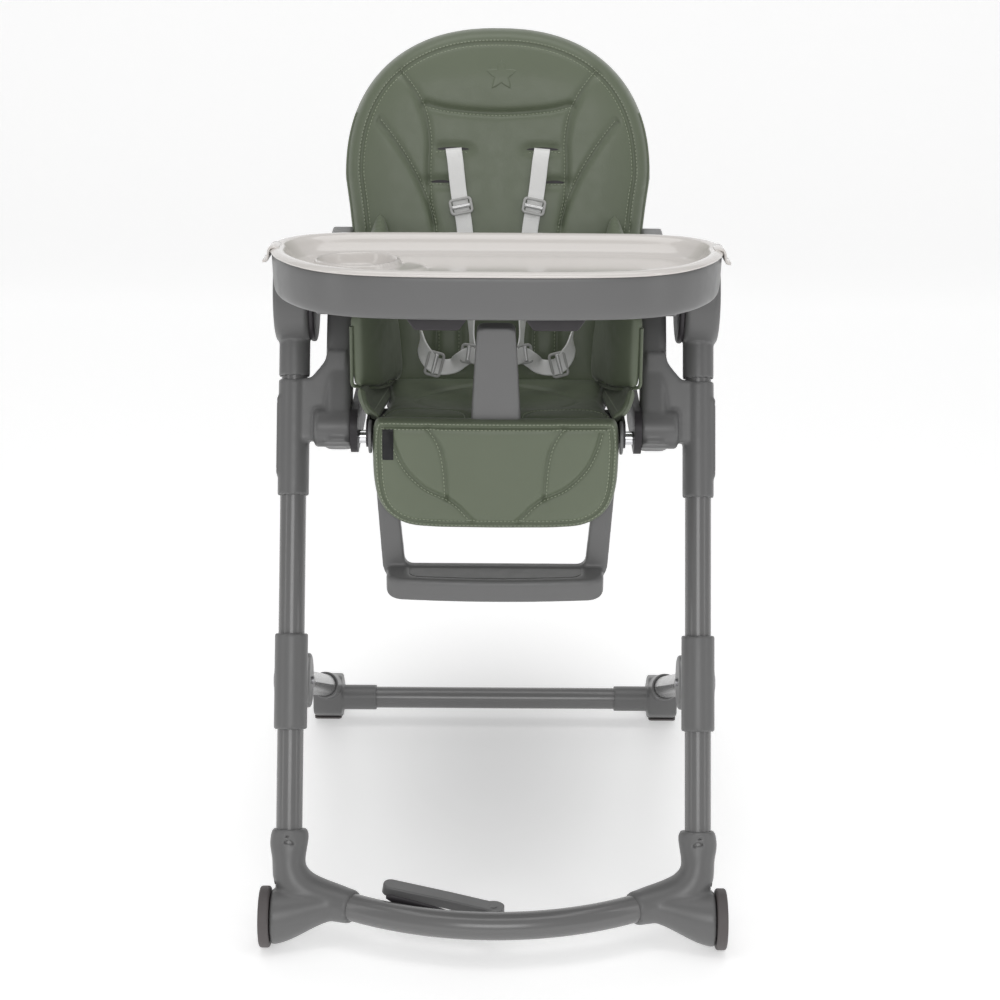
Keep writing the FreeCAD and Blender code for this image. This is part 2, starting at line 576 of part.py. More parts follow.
# ---------------------------------------------------------------- backrest
def back_outline(half, foot, crown, inset=0.0):
    """Edges of the backrest's face: tapered sides below an elliptic crown."""
    shoulder = Vector(half - inset, size.back_shoulder, 0)
    low = Vector(foot - inset, 12 + inset, 0)
    ellipse = Part.Ellipse(Vector(0, size.back_shoulder, 0), half - inset, crown - inset)
    return [
        Part.ArcOfEllipse(ellipse, 0, math.pi),
        Part.LineSegment(Vector(-shoulder.x, shoulder.y, 0), Vector(-low.x, low.y, 0)),
        Part.LineSegment(Vector(-low.x, low.y, 0), low),
        Part.LineSegment(low, shoulder),
    ]


def make_back():
    """Backrest: moulded shell behind a padded cushion with two side wings, and the recline grip."""
    pad_body = body("back_cushion", back_frame)
    sketch = sketch_on(pad_body, "XZ_Plane", -size.back_pad_front - size.back_pad_depth)
    for curve in back_outline(size.back_half, size.back_foot_half, size.back_crown):
        sketch.addGeometry(curve, False)
    pad(pad_body, sketch, "back_pad_depth")
    cushion = rounded("back_cushion_round", pad_body, 10.0)
    wing = plate("wing", "YZ_Plane", [
        (-180, 657, 18), (14, 650, 10), (80, 735, 60), (106, 850, 30), (30, 838, 60), (-60, 790, 60),
        (-180, 692, 22),
    ], "wing_width", -size.wing_inside - size.wing_width)
    keep("back_pad", joined("back_pad", cushion, wing, mirrored("wing_mirror", wing)))

    shell_body = body("back_board", back_frame)
    rear = size.back_pad_front + size.back_pad_depth + size.side_gap + size.back_shell_depth
    sketch = sketch_on(shell_body, "XZ_Plane", -rear)
    for curve in back_outline(size.back_half, size.back_foot_half, size.back_crown, 12.0):
        sketch.addGeometry(curve, False)
    pad(shell_body, sketch, "back_shell_depth")
    board = rounded("back_board_round", shell_body, 3.0)
    ear = plate("pivot_ear", "YZ_Plane", [
        (-12, 588, 10), (22, 588, 10), (92, 640, 10), (80, 690, 10), (44, 640, 20), (-12, 624, 10),
    ], "cheek_width", -size.plate_side + size.plate_width + 0.4)
    beam_half = size.plate_side - size.plate_width - 0.4
    beam = block("shell_beam", "(plate_side - plate_width - 0.4) * 2", "back_shell_depth + 2", "48",
                 moved(back_frame, -beam_half, rear - size.back_shell_depth, 20))
    handle_recess = block("grip_recess", "104", "20", "34", moved(back_frame, -52, rear - 5, 386))
    shell = joined("back_shell_body", board, beam, ear, mirrored("pivot_ear_mirror", ear))
    bore = cylinder("recline_bore", "recline_pin_radius + slip_gap", "plate_side * 2",
                    at(-size.plate_side, size.recline_back, size.recline_height, ALONG_X))
    keep("back_shell", cut("back_shell", shell, handle_recess, bore))
    grip = block("grip_blank", "96", "14", "22", moved(back_frame, -48, rear - 3, 390))
    keep("recline_handle", rounded("recline_handle", grip, 4.0))


# ---------------------------------------------------------------- leg rest
def make_leg_rest():
    """Looped leg rest with a foot board, hung on two hinge discs, and the calf flap in front of it."""
    top = size.rest_height
    low = size.rest_low
    outer = [(-size.rest_foot_half, low, 26), (size.rest_foot_half, low, 26),
             (size.rest_half, top + 3, 12), (-size.rest_half, top + 3, 12)]
    inner_low = size.rest_foot_half - size.rest_arm
    inner_top = size.rest_half - size.rest_arm
    inner = [(-inner_low, low + 22, 10), (inner_low, low + 22, 10),
             (inner_top, top - 26, 10), (-inner_top, top - 26, 10)]
    loop = plate("rest_loop", "XZ_Plane", outer, "rest_thickness", -size.rest_back, hole=inner)
    half = size.rest_foot_half - 4
    front = size.rest_back - size.rest_thickness - size.board_depth + 22
    bow = size.board_bow
    board = plate("rest_board", "XY_Plane", [
        (-half, front + bow, 22), (0, front - 1, 900), (half, front + bow, 22), (half, size.rest_back, 8),
        (-half, size.rest_back, 8),
    ], "board_height", low)
    frame = joined("rest_frame", loop, rounded("rest_board_round", board, 4.0))
    deck = low + size.board_height
    recess = plate("tread_recess", "XY_Plane", [
        (-half + 26, front + bow + 10, 16), (0, front + 12, 500), (half - 26, front + bow + 10, 16),
        (half - 26, size.rest_back - 16, 4), (-half + 26, size.rest_back - 16, 4),
    ], "tread_depth * 3", deck - size.tread_depth)
    keep("leg_rest", cut("leg_rest", frame, recess))
    tread = plate("footrest_tread", "XY_Plane", [
        (-half + 26.4, front + bow + 10.4, 16), (0, front + 12.4, 500), (half - 26.4, front + bow + 10.4, 16),
        (half - 26.4, size.rest_back - 16.4, 4), (-half + 26.4, size.rest_back - 16.4, 4),
    ], "tread_depth * 0.6", deck - size.tread_depth + 0.1)
    keep("footrest_tread", tread)
    disc_place = at(-size.rest_half - size.side_gap - size.hinge_width, size.rest_back - 7, top, ALONG_X)
    disc = cylinder("hinge_disc", "hinge_radius", "hinge_width", disc_place)
    both_sides("leg_rest_hinges", rounded("hinge_round", disc, 1.4, is_circle))
    half = size.flap_half
    face = size.rest_back - size.rest_thickness - size.side_gap
    flap = plate("flap_blank", "XZ_Plane", [
        (-half + 8, size.flap_low, 60), (half - 8, size.flap_low, 60), (half, top - 1, 6), (-half, top - 1, 6),
    ], "flap_thickness", -face)
    keep("calf_pad", rounded("calf_pad", flap, 4.0))
    label = block("label_blank", "12", "1.2", "34", at(-half + 8, face - size.flap_thickness - 1.6, 570))
    keep("side_label", label)


# ---------------------------------------------------------------- tray
def tray_outline(grow):
    """Corners of the tray's outline in its own frame, grown or shrunk all round."""
    half = size.tray_width / 2 + grow
    front = -size.tray_depth / 2 - grow
    back = size.tray_depth / 2 + grow
    return [(-half, front, size.tray_front_round + grow), (half, front, size.tray_front_round + grow),
            (half, back, size.tray_back_round + grow), (-half, back, size.tray_back_round + grow)]


def make_tray():
    """Tray with a deep skirt and a sunk deck, guided by channels on the two arm rails."""
    tray = plate("tray_rim", "XY_Plane", tray_outline(0), "tray_height", -size.tray_height, tray_frame)
    sketch = sketch_on(tray, "XY_Plane", 0.0)
    draw_outline(sketch, tray_outline(-size.tray_wall))
    pocket(tray, sketch, "tray_deck")
    under = plate("tray_under", "XY_Plane", tray_outline(-size.tray_wall),
                  "tray_height - tray_deck - deck_thickness + 5", -size.tray_height - 5, tray_frame)
    deck_low = -size.tray_deck - size.deck_thickness
    runner_low = deck_low - 26.5
    runner_block = block("runner_block", "rail_width + 9", "tray_depth * 0.4", "27",
                         moved(tray_frame, -size.rail_side - 4.5, -size.tray_depth * 0.1, runner_low))
    channel = block("runner_channel", "rail_width + 1", "tray_depth", "10",
                    moved(tray_frame, -size.rail_side - 0.5, -size.tray_depth / 2, runner_low - 1))
    runner = cut("runner", runner_block, channel)
    notch = block("rail_notch", "rail_width + 2", "30", "12",
                  moved(tray_frame, -size.rail_side - 1, size.tray_depth / 2 - 20, -size.tray_height - 5))
    shell = cut("tray_shell", tray, under, notch, mirrored("rail_notch_mirror", notch))
    keep("tray", joined("tray", shell, runner, mirrored("runner_mirror", runner)))

    lap = size.insert_lap
    insert = plate("insert_rim", "XY_Plane", tray_outline(lap), "insert_rim", size.side_gap, tray_frame)
    bowl = plate("insert_bowl", "XY_Plane", tray_outline(-size.tray_wall - 2), "insert_depth + insert_rim",
                 -size.insert_depth, tray_frame)
    hollow = plate("insert_hollow", "XY_Plane", tray_outline(-size.insert_inset), "insert_depth * 2",
                   -size.insert_depth + size.insert_wall, tray_frame)
    floor = -size.insert_depth + size.insert_wall - 0.5
    rings = []
    hollows = []
    for number, (radius, across) in enumerate(((size.cup_radius, size.cup_across),
                                               (size.snack_radius, size.snack_across))):
        spot = moved(tray_frame, across, size.cup_back, floor)
        rings.append(bind(doc.addObject("Part::Cylinder", f"ring_{number}"), Height="cup_ring_height"))
        rings[-1].Radius = radius + size.cup_ring
        rings[-1].Placement = spot
        hollows.append(bind(doc.addObject("Part::Cylinder", f"ring_hollow_{number}"), Height="insert_depth"))
        hollows[-1].Radius = radius
        hollows[-1].Placement = moved(tray_frame, across, size.cup_back, floor - 0.5)
    shell = cut("insert_shell", joined("insert_body", insert, bowl), hollow)
    keep("tray_insert", cut("tray_insert", joined("insert_ringed", shell, *rings), *hollows))

    outer = size.tray_width / 2 + size.side_gap
    arm = block("clip_arm", "11", "48", "4", moved(tray_frame, -outer - 8, -20, size.side_gap + 0.6))
    tab = block("clip_tab", "4", "40", "20", moved(tray_frame, -outer - 8, -16, -17))
    clip = joined("clip_hook", arm, tab)
    both_sides("insert_clips", cut("insert_clip", clip, block("clip_trim", "20", "60", "10",
               moved(tray_frame, -outer - lap + 0.3, -26, 0))))

    hang = moved(tray_frame, -size.paddle_inside - size.paddle_width, -size.tray_depth / 2 + 34,
                 deck_low - 1 - size.paddle_height - 6)
    wide = size.paddle_width
    tall = size.paddle_height + 6
    paddle = plate("paddle_blank", "XZ_Plane", [
        (9, 0, 6), (wide - 9, 0, 6), (wide, 12, 8), (wide, tall, 4), (0, tall, 4), (0, 12, 8),
    ], "paddle_thickness", -size.paddle_thickness, hang)
    pair("tray_paddle", rounded("tray_paddle_left", paddle, 2.5))


def make_rails():
    """Arm rails under the tray, rising to a rounded cap over each hanger column."""
    rail = plate("rail_blank", "YZ_Plane", [
        (-262, 796.4, 6), (-78, 788.7, 20), (-58, 822, 16), (30, 826, 16), (36, 796, 14), (-60, 764, 30),
        (-262, 776, 6),
    ], "rail_width", -size.rail_side)
    pair("arm_rail", rounded("arm_rail_left", rail, 3.0,
                             lambda edge: abs(edge.BoundBox.XMax - edge.BoundBox.XMin) < 0.01))


# ---------------------------------------------------------------- harness
def make_harness():
    """Five-point harness: webbing, ladder adjusters and the central buckle."""
    front = size.back_pad_front - size.side_gap - size.strap_thickness
    strap = block("shoulder_strap", "strap_width", "strap_thickness", "272",
                  moved(back_frame, -size.strap_across - size.strap_width, front, 64))
    both_sides("shoulder_straps", strap)
    waist = block("waist_strap", "strap_width", "150", "strap_thickness",
                  moved(seat_frame, -118, 52, size.side_gap))
    both_sides("waist_straps", waist)
    keep("crotch_strap", block("crotch_strap", "strap_width", "70", "strap_thickness",
                               moved(seat_frame, -size.strap_width / 2, 30, size.side_gap)))
    buckle = block("buckle_blank", "46", "44", "13", moved(seat_frame, -23, 102, size.side_gap))
    keep("harness_buckle", rounded("harness_buckle", buckle, 4.0))
    ladders = []
    for number, spot in enumerate((
        moved(back_frame, -size.strap_across - size.strap_width / 2, front - size.adjuster_depth - 0.3, 250),
        moved(back_frame, -size.strap_across - size.strap_width / 2, front - size.adjuster_depth - 0.3, 96),
    )):
        ladders.append(rounded(f"ladder_round_{number}", block(
            f"ladder_{number}", "adjuster_width", "adjuster_depth", "adjuster_height",
            moved(spot, -size.adjuster_width / 2, 0, 0)), 1.5))
    seat_ladder = rounded("seat_ladder_round", block(
        "seat_ladder", "adjuster_width", "adjuster_height", "adjuster_depth",
        moved(seat_frame, -122, 120, size.side_gap * 2 + size.strap_thickness)), 1.5)
    both_sides("shoulder_adjusters", *ladders)
    both_sides("waist_adjusters", seat_ladder)


make_front_bar()
make_corners()
make_wheels()
make_front_legs()
make_leg_heads()
make_stand()
make_rear_frame()
make_hangers()
make_seat_base()
make_post()
make_back()
make_leg_rest()
make_tray()
make_rails()
make_harness()
doc.recompute()

for thing in doc.Objects:
    if "Invalid" in thing.State or "Error" in thing.State:
        raise RuntimeError(f"{thing.Label} failed: {thing.State}")
for name, piece in nodes.items():
    if piece.Shape.isNull() or not piece.Shape.isValid() or not piece.Shape.Solids:
        raise RuntimeError(f"{name} has no valid solid")

os.makedirs("parts", exist_ok=True)
for name, piece in nodes.items():
    piece.Shape.exportStep(f"parts/{name}.step")
    box = piece.Shape.BoundBox
    print(f"{name}: {len(piece.Shape.Solids)} solid, x {box.XMin:.0f}..{box.XMax:.0f}, "
          f"y {box.YMin:.0f}..{box.YMax:.0f}, z {box.ZMin:.0f}..{box.ZMax:.0f}")
print(len(nodes), "nodes")
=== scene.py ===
"""A folding high chair: padded leatherette, satin mouldings, painted tubes, a glossy liner."""

import json
import logging
import math
from dataclasses import dataclass, field
from enum import Enum
from typing import Callable, Optional, Sequence

import bmesh
import bpy
import numpy as np
from mathutils import Matrix, Vector


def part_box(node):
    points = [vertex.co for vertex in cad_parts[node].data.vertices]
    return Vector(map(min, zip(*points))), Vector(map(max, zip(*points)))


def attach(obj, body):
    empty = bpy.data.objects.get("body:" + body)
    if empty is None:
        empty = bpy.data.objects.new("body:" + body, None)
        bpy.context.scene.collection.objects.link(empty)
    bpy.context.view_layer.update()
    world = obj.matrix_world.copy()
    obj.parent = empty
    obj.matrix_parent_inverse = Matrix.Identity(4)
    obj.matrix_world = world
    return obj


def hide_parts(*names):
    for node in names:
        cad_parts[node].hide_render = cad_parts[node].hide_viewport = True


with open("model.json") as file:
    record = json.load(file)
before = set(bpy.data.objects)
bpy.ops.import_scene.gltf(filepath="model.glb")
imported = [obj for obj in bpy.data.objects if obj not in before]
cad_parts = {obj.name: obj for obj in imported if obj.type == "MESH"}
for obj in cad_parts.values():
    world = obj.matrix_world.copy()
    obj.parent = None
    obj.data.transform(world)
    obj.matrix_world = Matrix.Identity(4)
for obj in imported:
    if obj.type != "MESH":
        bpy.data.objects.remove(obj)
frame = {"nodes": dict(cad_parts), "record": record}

Array = np.ndarray
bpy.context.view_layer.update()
MM = 0.001
log = logging.getLogger("high_chair")


# ---------------------------------------------------------------- finishes
class Grain(Enum):
    """Kinds of surface detail."""

    MOULDED = "fine moulded plastic"
    PEBBLE = "pebbled leatherette"
    PAINT = "orange peel of powder paint"
    WEAVE = "woven webbing"
    BRUSHED = "drawn metal"
    POLISHED = "polished"


@dataclass(frozen=True)
class Finish:
    """One finish: its colours, gloss and surface detail."""

    name: str
    slot: str
    colour: tuple[float, float, float]
    shade: tuple[float, float, float]
    roughness: float
    grain: Grain
    grain_scale: float = 900.0
    grain_depth: float = 0.0001
    metallic: float = 0.0
    coat: float = 0.0
    sheen: float = 0.0
    mottle_scale: float = 12.0

    def material(self) -> bpy.types.Material:
        """Build the procedural material, or return it if it is there.

        Returns:
            A node material that reads Object coordinates, or the UV map for a weave.
        """
        title = f"{self.name}_finish"
        found = bpy.data.materials.get(title)
        if found:
            return found
        material = bpy.data.materials.new(title)
        material.use_nodes = True
        tree = material.node_tree
        shader = tree.nodes["Principled BSDF"]
        shader.inputs["Metallic"].default_value = self.metallic
        shader.inputs["Coat Weight"].default_value = self.coat
        shader.inputs["Coat Roughness"].default_value = 0.12
        shader.inputs["Sheen Weight"].default_value = self.sheen
        shader.inputs["Sheen Roughness"].default_value = 0.45
        place = tree.nodes.new("ShaderNodeTexCoord")
        mottle = self._noise(tree, place.outputs["Object"], self.mottle_scale, 4.0)
        blend = tree.nodes.new("ShaderNodeMix")
        blend.data_type = "RGBA"
        blend.inputs[6].default_value = (*self.colour, 1.0)
        blend.inputs[7].default_value = (*self.shade, 1.0)
        tree.links.new(mottle.outputs["Fac"], blend.inputs[0])
        tree.links.new(blend.outputs[2], shader.inputs["Base Color"])
        gloss = tree.nodes.new("ShaderNodeMapRange")
        gloss.inputs["From Min"].default_value = 0.3
        gloss.inputs["From Max"].default_value = 0.7
        gloss.inputs["To Min"].default_value = self.roughness * 0.9
        gloss.inputs["To Max"].default_value = min(1.0, self.roughness * 1.1)
        fine = self._noise(tree, place.outputs["Object"], self.mottle_scale * 6, 3.0)
        tree.links.new(fine.outputs["Fac"], gloss.inputs["Value"])
        tree.links.new(gloss.outputs["Result"], shader.inputs["Roughness"])
        height = self._height(tree, place)
        if height is not None:
            bump = tree.nodes.new("ShaderNodeBump")
            bump.inputs["Strength"].default_value = 0.6
            bump.inputs["Distance"].default_value = self.grain_depth
            tree.links.new(height, bump.inputs["Height"])
            tree.links.new(bump.outputs["Normal"], shader.inputs["Normal"])
        return material

    @staticmethod
    def _noise(tree: bpy.types.NodeTree, vector: bpy.types.NodeSocket, scale: float,
               detail: float) -> bpy.types.Node:
        """Add a noise texture.

        Args:
            tree: Node tree to add to.
            vector: Coordinates that it reads.
            scale: Cells per metre.
            detail: Octaves.

        Returns:
            The noise node.
        """
        noise = tree.nodes.new("ShaderNodeTexNoise")
        noise.inputs["Scale"].default_value = scale
        noise.inputs["Detail"].default_value = detail
        tree.links.new(vector, noise.inputs["Vector"])
        return noise

    def _height(self, tree: bpy.types.NodeTree, place: bpy.types.Node) -> Optional[bpy.types.NodeSocket]:
        """Add the height field of the grain.

        Args:
            tree: Node tree to add to.
            place: Texture coordinate node.

        Returns:
            The socket that carries the height, or None for a polished surface.
        """
        if self.grain is Grain.POLISHED:
            return None
        if self.grain is Grain.PEBBLE:
            warp = self._noise(tree, place.outputs["Object"], self.grain_scale * 0.4, 2.0)
            mix = tree.nodes.new("ShaderNodeMix")
            mix.data_type = "VECTOR"
            mix.inputs[0].default_value = 0.0006
            tree.links.new(place.outputs["Object"], mix.inputs[4])
            tree.links.new(warp.outputs["Color"], mix.inputs[5])
            cells = tree.nodes.new("ShaderNodeTexVoronoi")
            cells.feature = "SMOOTH_F1"
            cells.inputs["Scale"].default_value = self.grain_scale
            cells.inputs["Smoothness"].default_value = 0.4
            tree.links.new(mix.outputs[1], cells.inputs["Vector"])
            turned = tree.nodes.new("ShaderNodeMath")
            turned.operation = "SUBTRACT"
            turned.inputs[0].default_value = 1.0
            tree.links.new(cells.outputs["Distance"], turned.inputs[1])
            return turned.outputs[0]
        if self.grain is Grain.WEAVE:
            waves = tree.nodes.new("ShaderNodeTexWave")
            waves.bands_direction = "DIAGONAL"
            waves.inputs["Scale"].default_value = self.grain_scale
            waves.inputs["Distortion"].default_value = 0.4
            tree.links.new(place.outputs["UV"], waves.inputs["Vector"])
            return waves.outputs["Fac"]
        if self.grain is Grain.BRUSHED:
            stretch = tree.nodes.new("ShaderNodeMapping")
            stretch.inputs["Scale"].default_value = (0.03, 1.0, 1.0)
            tree.links.new(place.outputs["Object"], stretch.inputs["Vector"])
            return self._noise(tree, stretch.outputs["Vector"], self.grain_scale, 3.0).outputs["Fac"]
        return self._noise(tree, place.outputs["Object"], self.grain_scale, 5.0).outputs["Fac"]


SAGE = Finish("sage_leatherette", "sage_leatherette", (0.132, 0.157, 0.104), (0.118, 0.141, 0.092), 0.42,
              Grain.PEBBLE, 1150.0, 0.00016, sheen=0.12, coat=0.04)
THREAD = Finish("sage_thread", "sage_leatherette", (0.330, 0.370, 0.270), (0.300, 0.340, 0.245), 0.7,
                Grain.MOULDED, 3000.0, 0.00005, sheen=0.3)
GREY = Finish("grey_moulding", "grey_moulding", (0.150, 0.150, 0.150), (0.136, 0.136, 0.136), 0.36,
              Grain.MOULDED, 2400.0, 0.00004)
PAINT = Finish("painted_tube", "painted_tube", (0.154, 0.153, 0.153), (0.144, 0.143, 0.143), 0.24,
               Grain.PAINT, 700.0, 0.00003, coat=0.25)
DARK = Finish("dark_moulding", "dark_moulding", (0.030, 0.026, 0.030), (0.022, 0.019, 0.022), 0.5,
              Grain.MOULDED, 2200.0, 0.00006)
RUBBER = Finish("wheel_rubber", "wheel_rubber", (0.110, 0.098, 0.098), (0.096, 0.086, 0.086), 0.55,
                Grain.MOULDED, 1500.0, 0.00010)
CHROME = Finish("bright_chrome", "bright_chrome", (0.80, 0.80, 0.82), (0.76, 0.76, 0.78), 0.08,
                Grain.POLISHED, metallic=1.0)
STEEL = Finish("zinc_steel", "zinc_steel", (0.42, 0.42, 0.43), (0.36, 0.36, 0.37), 0.32,
               Grain.BRUSHED, 3000.0, 0.00003, metallic=1.0)
CREAM = Finish("cream_plastic", "cream_plastic", (0.700, 0.668, 0.640), (0.685, 0.654, 0.626), 0.13,
               Grain.PAINT, 160.0, 0.00003, coat=0.35)
WEBBING = Finish("light_webbing", "light_webbing", (0.84, 0.84, 0.83), (0.78, 0.78, 0.77), 0.75,
                 Grain.WEAVE, 260.0, 0.00022, sheen=0.25)
BUCKLE = Finish("grey_buckle", "grey_buckle", (0.44, 0.44, 0.43), (0.41, 0.41, 0.40), 0.38,
                Grain.MOULDED, 2400.0, 0.00004)
BRIGHT = Finish("bright_bar", "bright_chrome", (0.66, 0.66, 0.66), (0.62, 0.62, 0.62), 0.24,
                Grain.POLISHED, metallic=0.35)
LABEL = Finish("dark_label", "dark_label", (0.012, 0.012, 0.013), (0.018, 0.018, 0.019), 0.8,
               Grain.MOULDED, 1800.0, 0.00010, sheen=0.1)
BY_SLOT = {finish.slot: finish for finish in
           (SAGE, GREY, PAINT, DARK, RUBBER, CHROME, STEEL, CREAM, WEBBING, BUCKLE, LABEL)}


# ---------------------------------------------------------------- meshes
def make_piece(name: str, points: Array, faces: Array, finish: Finish, smooth: bool = True,
               uv: Optional[Array] = None) -> bpy.types.Object:
    """Put a surface into the scene as one piece.

    Args:
        name: Piece name.
        points: Vertices, n by 3, in metres.
        faces: Four corner numbers each; a triangle repeats its last corner.
        finish: What it is finished in.
        smooth: Smooth shading.
        uv: One texture coordinate for each vertex, or None.

    Returns:
        The new object, at the origin.
    """
    mesh = bpy.data.meshes.new(name)
    listed = [tuple(dict.fromkeys(face)) for face in np.asarray(faces).tolist()]
    mesh.from_pydata(np.asarray(points, float).tolist(), [], [face for face in listed if len(face) > 2])
    shell = bmesh.new()
    shell.from_mesh(mesh)
    bmesh.ops.recalc_face_normals(shell, faces=shell.faces)
    shell.to_mesh(mesh)
    shell.free()
    mesh.polygons.foreach_set("use_smooth", [smooth] * len(mesh.polygons))
    if uv is not None:
        layer = mesh.uv_layers.new(name="along")
        corners = np.empty(len(mesh.loops), np.int32)
        mesh.loops.foreach_get("vertex_index", corners)
        layer.data.foreach_set("uv", np.asarray(uv, np.float32)[corners].ravel())
    mesh.update()
    piece = bpy.data.objects.new(name, mesh)
    bpy.context.scene.collection.objects.link(piece)
    piece.data.materials.append(finish.material())
    return piece


def grid_faces(rows: int, columns: int, wrap: bool = False, first: int = 0) -> Array:
    """Faces of a grid of points numbered row by row.

    Args:
        rows: Rows of points.
        columns: Columns of points.
        wrap: The last column joins the first.
        first: Number of the first point.

    Returns:
        Corner numbers, one row for each face.
    """
    row = np.arange(rows - 1)[:, None]
    column = np.arange(columns if wrap else columns - 1)[None, :]
    after = (column + 1) % columns
    corners = np.stack([row * columns + column, row * columns + after,
                        (row + 1) * columns + after, (row + 1) * columns + column], -1)
    return corners.reshape(-1, 4) + first


def smooth_line(points: Sequence[Sequence[float]], count: int = 60, closed: bool = False) -> Array:
    """Catmull-Rom curve through a few points, so that it bends evenly between them.

    Args:
        points: Points that it passes through.
        count: Points to return.
        closed: The curve joins its own start.

    Returns:
        Points along the curve, count by dimensions.
    """
    knots = np.asarray(points, float)
    size = len(knots)
    spans = size if closed else size - 1
    place = np.linspace(0, spans, count, endpoint=not closed)
    span = np.minimum(place.astype(int), spans - 1)
    share = (place - span)[:, None]

    def knot(number: Array) -> Array:
        """Knots by number, held or wrapped at the ends."""
        return knots[number % size] if closed else knots[np.clip(number, 0, size - 1)]

    before, start, end, after = knot(span - 1), knot(span), knot(span + 1), knot(span + 2)
    return 0.5 * (2 * start + (end - before) * share + (2 * before - 5 * start + 4 * end - after) * share ** 2
                  + (3 * start - before - 3 * end + after) * share ** 3)


def unit(vectors: Array) -> Array:
    """Vectors scaled to length one."""
    return vectors / np.maximum(np.linalg.norm(vectors, axis=-1, keepdims=True), 1e-12)


def tube_along(name: str, path: Array, profile: Array, facing: Array, finish: Finish,
               closed: bool = False) -> bpy.types.Object:
    """A closed profile carried along a path: point = path + across * profile x + facing * profile y.

    Args:
        name: Piece name.
        path: Points of the path.
        profile: Points of the profile, in the plane across the path.
        facing: Direction that the profile's y takes at each path point.
        finish: What it is finished in.
        closed: The path joins its own start.

    Returns:
        The new piece, with a UV map of metres across and along.
    """
    ahead = np.roll(path, -1, 0) - np.roll(path, 1, 0) if closed else np.gradient(path, axis=0)
    ahead = unit(ahead)
    up = unit(facing - ahead * np.sum(facing * ahead, -1, keepdims=True))
    across = np.cross(ahead, up)
    rings = path[:, None] + across[:, None] * profile[None, :, :1] + up[:, None] * profile[None, :, 1:]
    rows, columns = len(path), len(profile)
    faces = grid_faces(rows, columns, wrap=True)
    points = rings.reshape(-1, 3)
    run = np.concatenate([[0.0], np.cumsum(np.linalg.norm(np.diff(path, axis=0), axis=1))])
    uv = np.stack(np.broadcast_arrays(profile[None, :, 0], run[:, None]), -1).reshape(-1, 2)
    if closed:
        last = np.stack([(rows - 1) * columns + np.arange(columns),
                         (rows - 1) * columns + (np.arange(columns) + 1) % columns,
                         (np.arange(columns) + 1) % columns, np.arange(columns)], -1)
        faces = np.concatenate([faces, last])
    else:
        points = np.concatenate([points, rings[0].mean(0)[None], rings[-1].mean(0)[None]])
        uv = np.concatenate([uv, [[0.0, run[0]]], [[0.0, run[-1]]]])
        ring = np.arange(columns)
        after = (ring + 1) % columns
        hub = rows * columns
        start = np.stack([after, ring, np.full(columns, hub), np.full(columns, hub)], -1)
        base = (rows - 1) * columns
        end = np.stack([base + ring, base + after, np.full(columns, hub + 1), np.full(columns, hub + 1)],
                       -1)
        faces = np.concatenate([faces, start, end])
    return make_piece(name, points, faces[:, ::-1], finish, uv=uv)


def rounded_profile(width: float, height: float, radius: float, steps: int = 4) -> Array:
    """Rounded rectangle about the origin: each corner is a quarter circle.

    Args:
        width: Full width.
        height: Full height.
        radius: Corner radius.
        steps: Points for each corner.

    Returns:
        Points of the outline, anticlockwise.
    """
    angles = np.linspace(0, math.pi / 2, steps)
    corners = []
    for number, (sx, sy) in enumerate(((1, 1), (-1, 1), (-1, -1), (1, -1))):
        turn = angles + number * math.pi / 2
        centre = (sx * (width / 2 - radius), sy * (height / 2 - radius))
        corners.append(np.stack([centre[0] + radius * np.cos(turn), centre[1] + radius * np.sin(turn)],
                                -1))
    return np.concatenate(corners)


@dataclass(frozen=True)
class WorkPlane:
    """A tilted plane to build on: u across the chair, v up or along the slope, w out of the face."""

    origin: tuple[float, float, float]
    v_axis: tuple[float, float, float]
    w_axis: tuple[float, float, float]

    def place(self, u: Array, v: Array, w: Array) -> Array:
        """Points in the chair's frame: origin + u X + v v_axis + w w_axis.

        Args:
            u: Distance across.
            v: Distance along.
            w: Distance out.

        Returns:
            Points with a last dimension of three.
        """
        across = np.asarray(u, float)[..., None] * np.array([1.0, 0.0, 0.0])
        along = np.asarray(v, float)[..., None] * np.array(self.v_axis)
        out = np.asarray(w, float)[..., None] * np.array(self.w_axis)
        return np.array(self.origin) + across + along + out


def leaning(y: float, z: float, degrees: float) -> WorkPlane:
    """Upright plane that leans back by an angle and faces the front."""
    lean = math.radians(degrees)
    return WorkPlane((0.0, y, z), (0.0, math.sin(lean), math.cos(lean)),
                     (0.0, -math.cos(lean), math.sin(lean)))


def lying(y: float, z: float, degrees: float) -> WorkPlane:
    """Level plane that falls towards the back by an angle and faces up."""
    fall = math.radians(degrees)
    return WorkPlane((0.0, y, z), (0.0, math.cos(fall), -math.sin(fall)),
                     (0.0, math.sin(fall), math.cos(fall)))


BACK_PLANE = leaning(0.005, 0.600, 12.4)
SEAT_PLANE = lying(-0.228, 0.644, 5.6)
FLAP_PLANE = leaning(-0.2465, 0.0, 0.0)

# How fast a seam's puffed cheek rises beside its groove, and falls away, in parts of its reach.
CHEEK_RISE = 0.4
CHEEK_FALL = 2.2


# ---------------------------------------------------------------- padded goods
@dataclass(frozen=True)
class Seam:
    """One sewn line across a pad: its points in the pad's plane, and the groove that it pulls."""

    points: tuple[tuple[float, float], ...]
    depth: float = 3.0
    width: float = 3.2
    reach: float = 22.0
    puff: float = 2.0
    stitched: float = 0.0

    def line(self, count: int = 60) -> Array:
        """The seam's smooth curve, in metres."""
        return smooth_line(self.points, count) * MM

    def other_side(self) -> "Seam":
        """The same seam on the other side of the chair."""
        turned = tuple((-u, v) for u, v in self.points)
        return Seam(turned, self.depth, self.width, self.reach, self.puff, -self.stitched)


def both(seams: Sequence[Seam]) -> list[Seam]:
    """Seams and their mirror images."""
    return [*seams, *(seam.other_side() for seam in seams)]


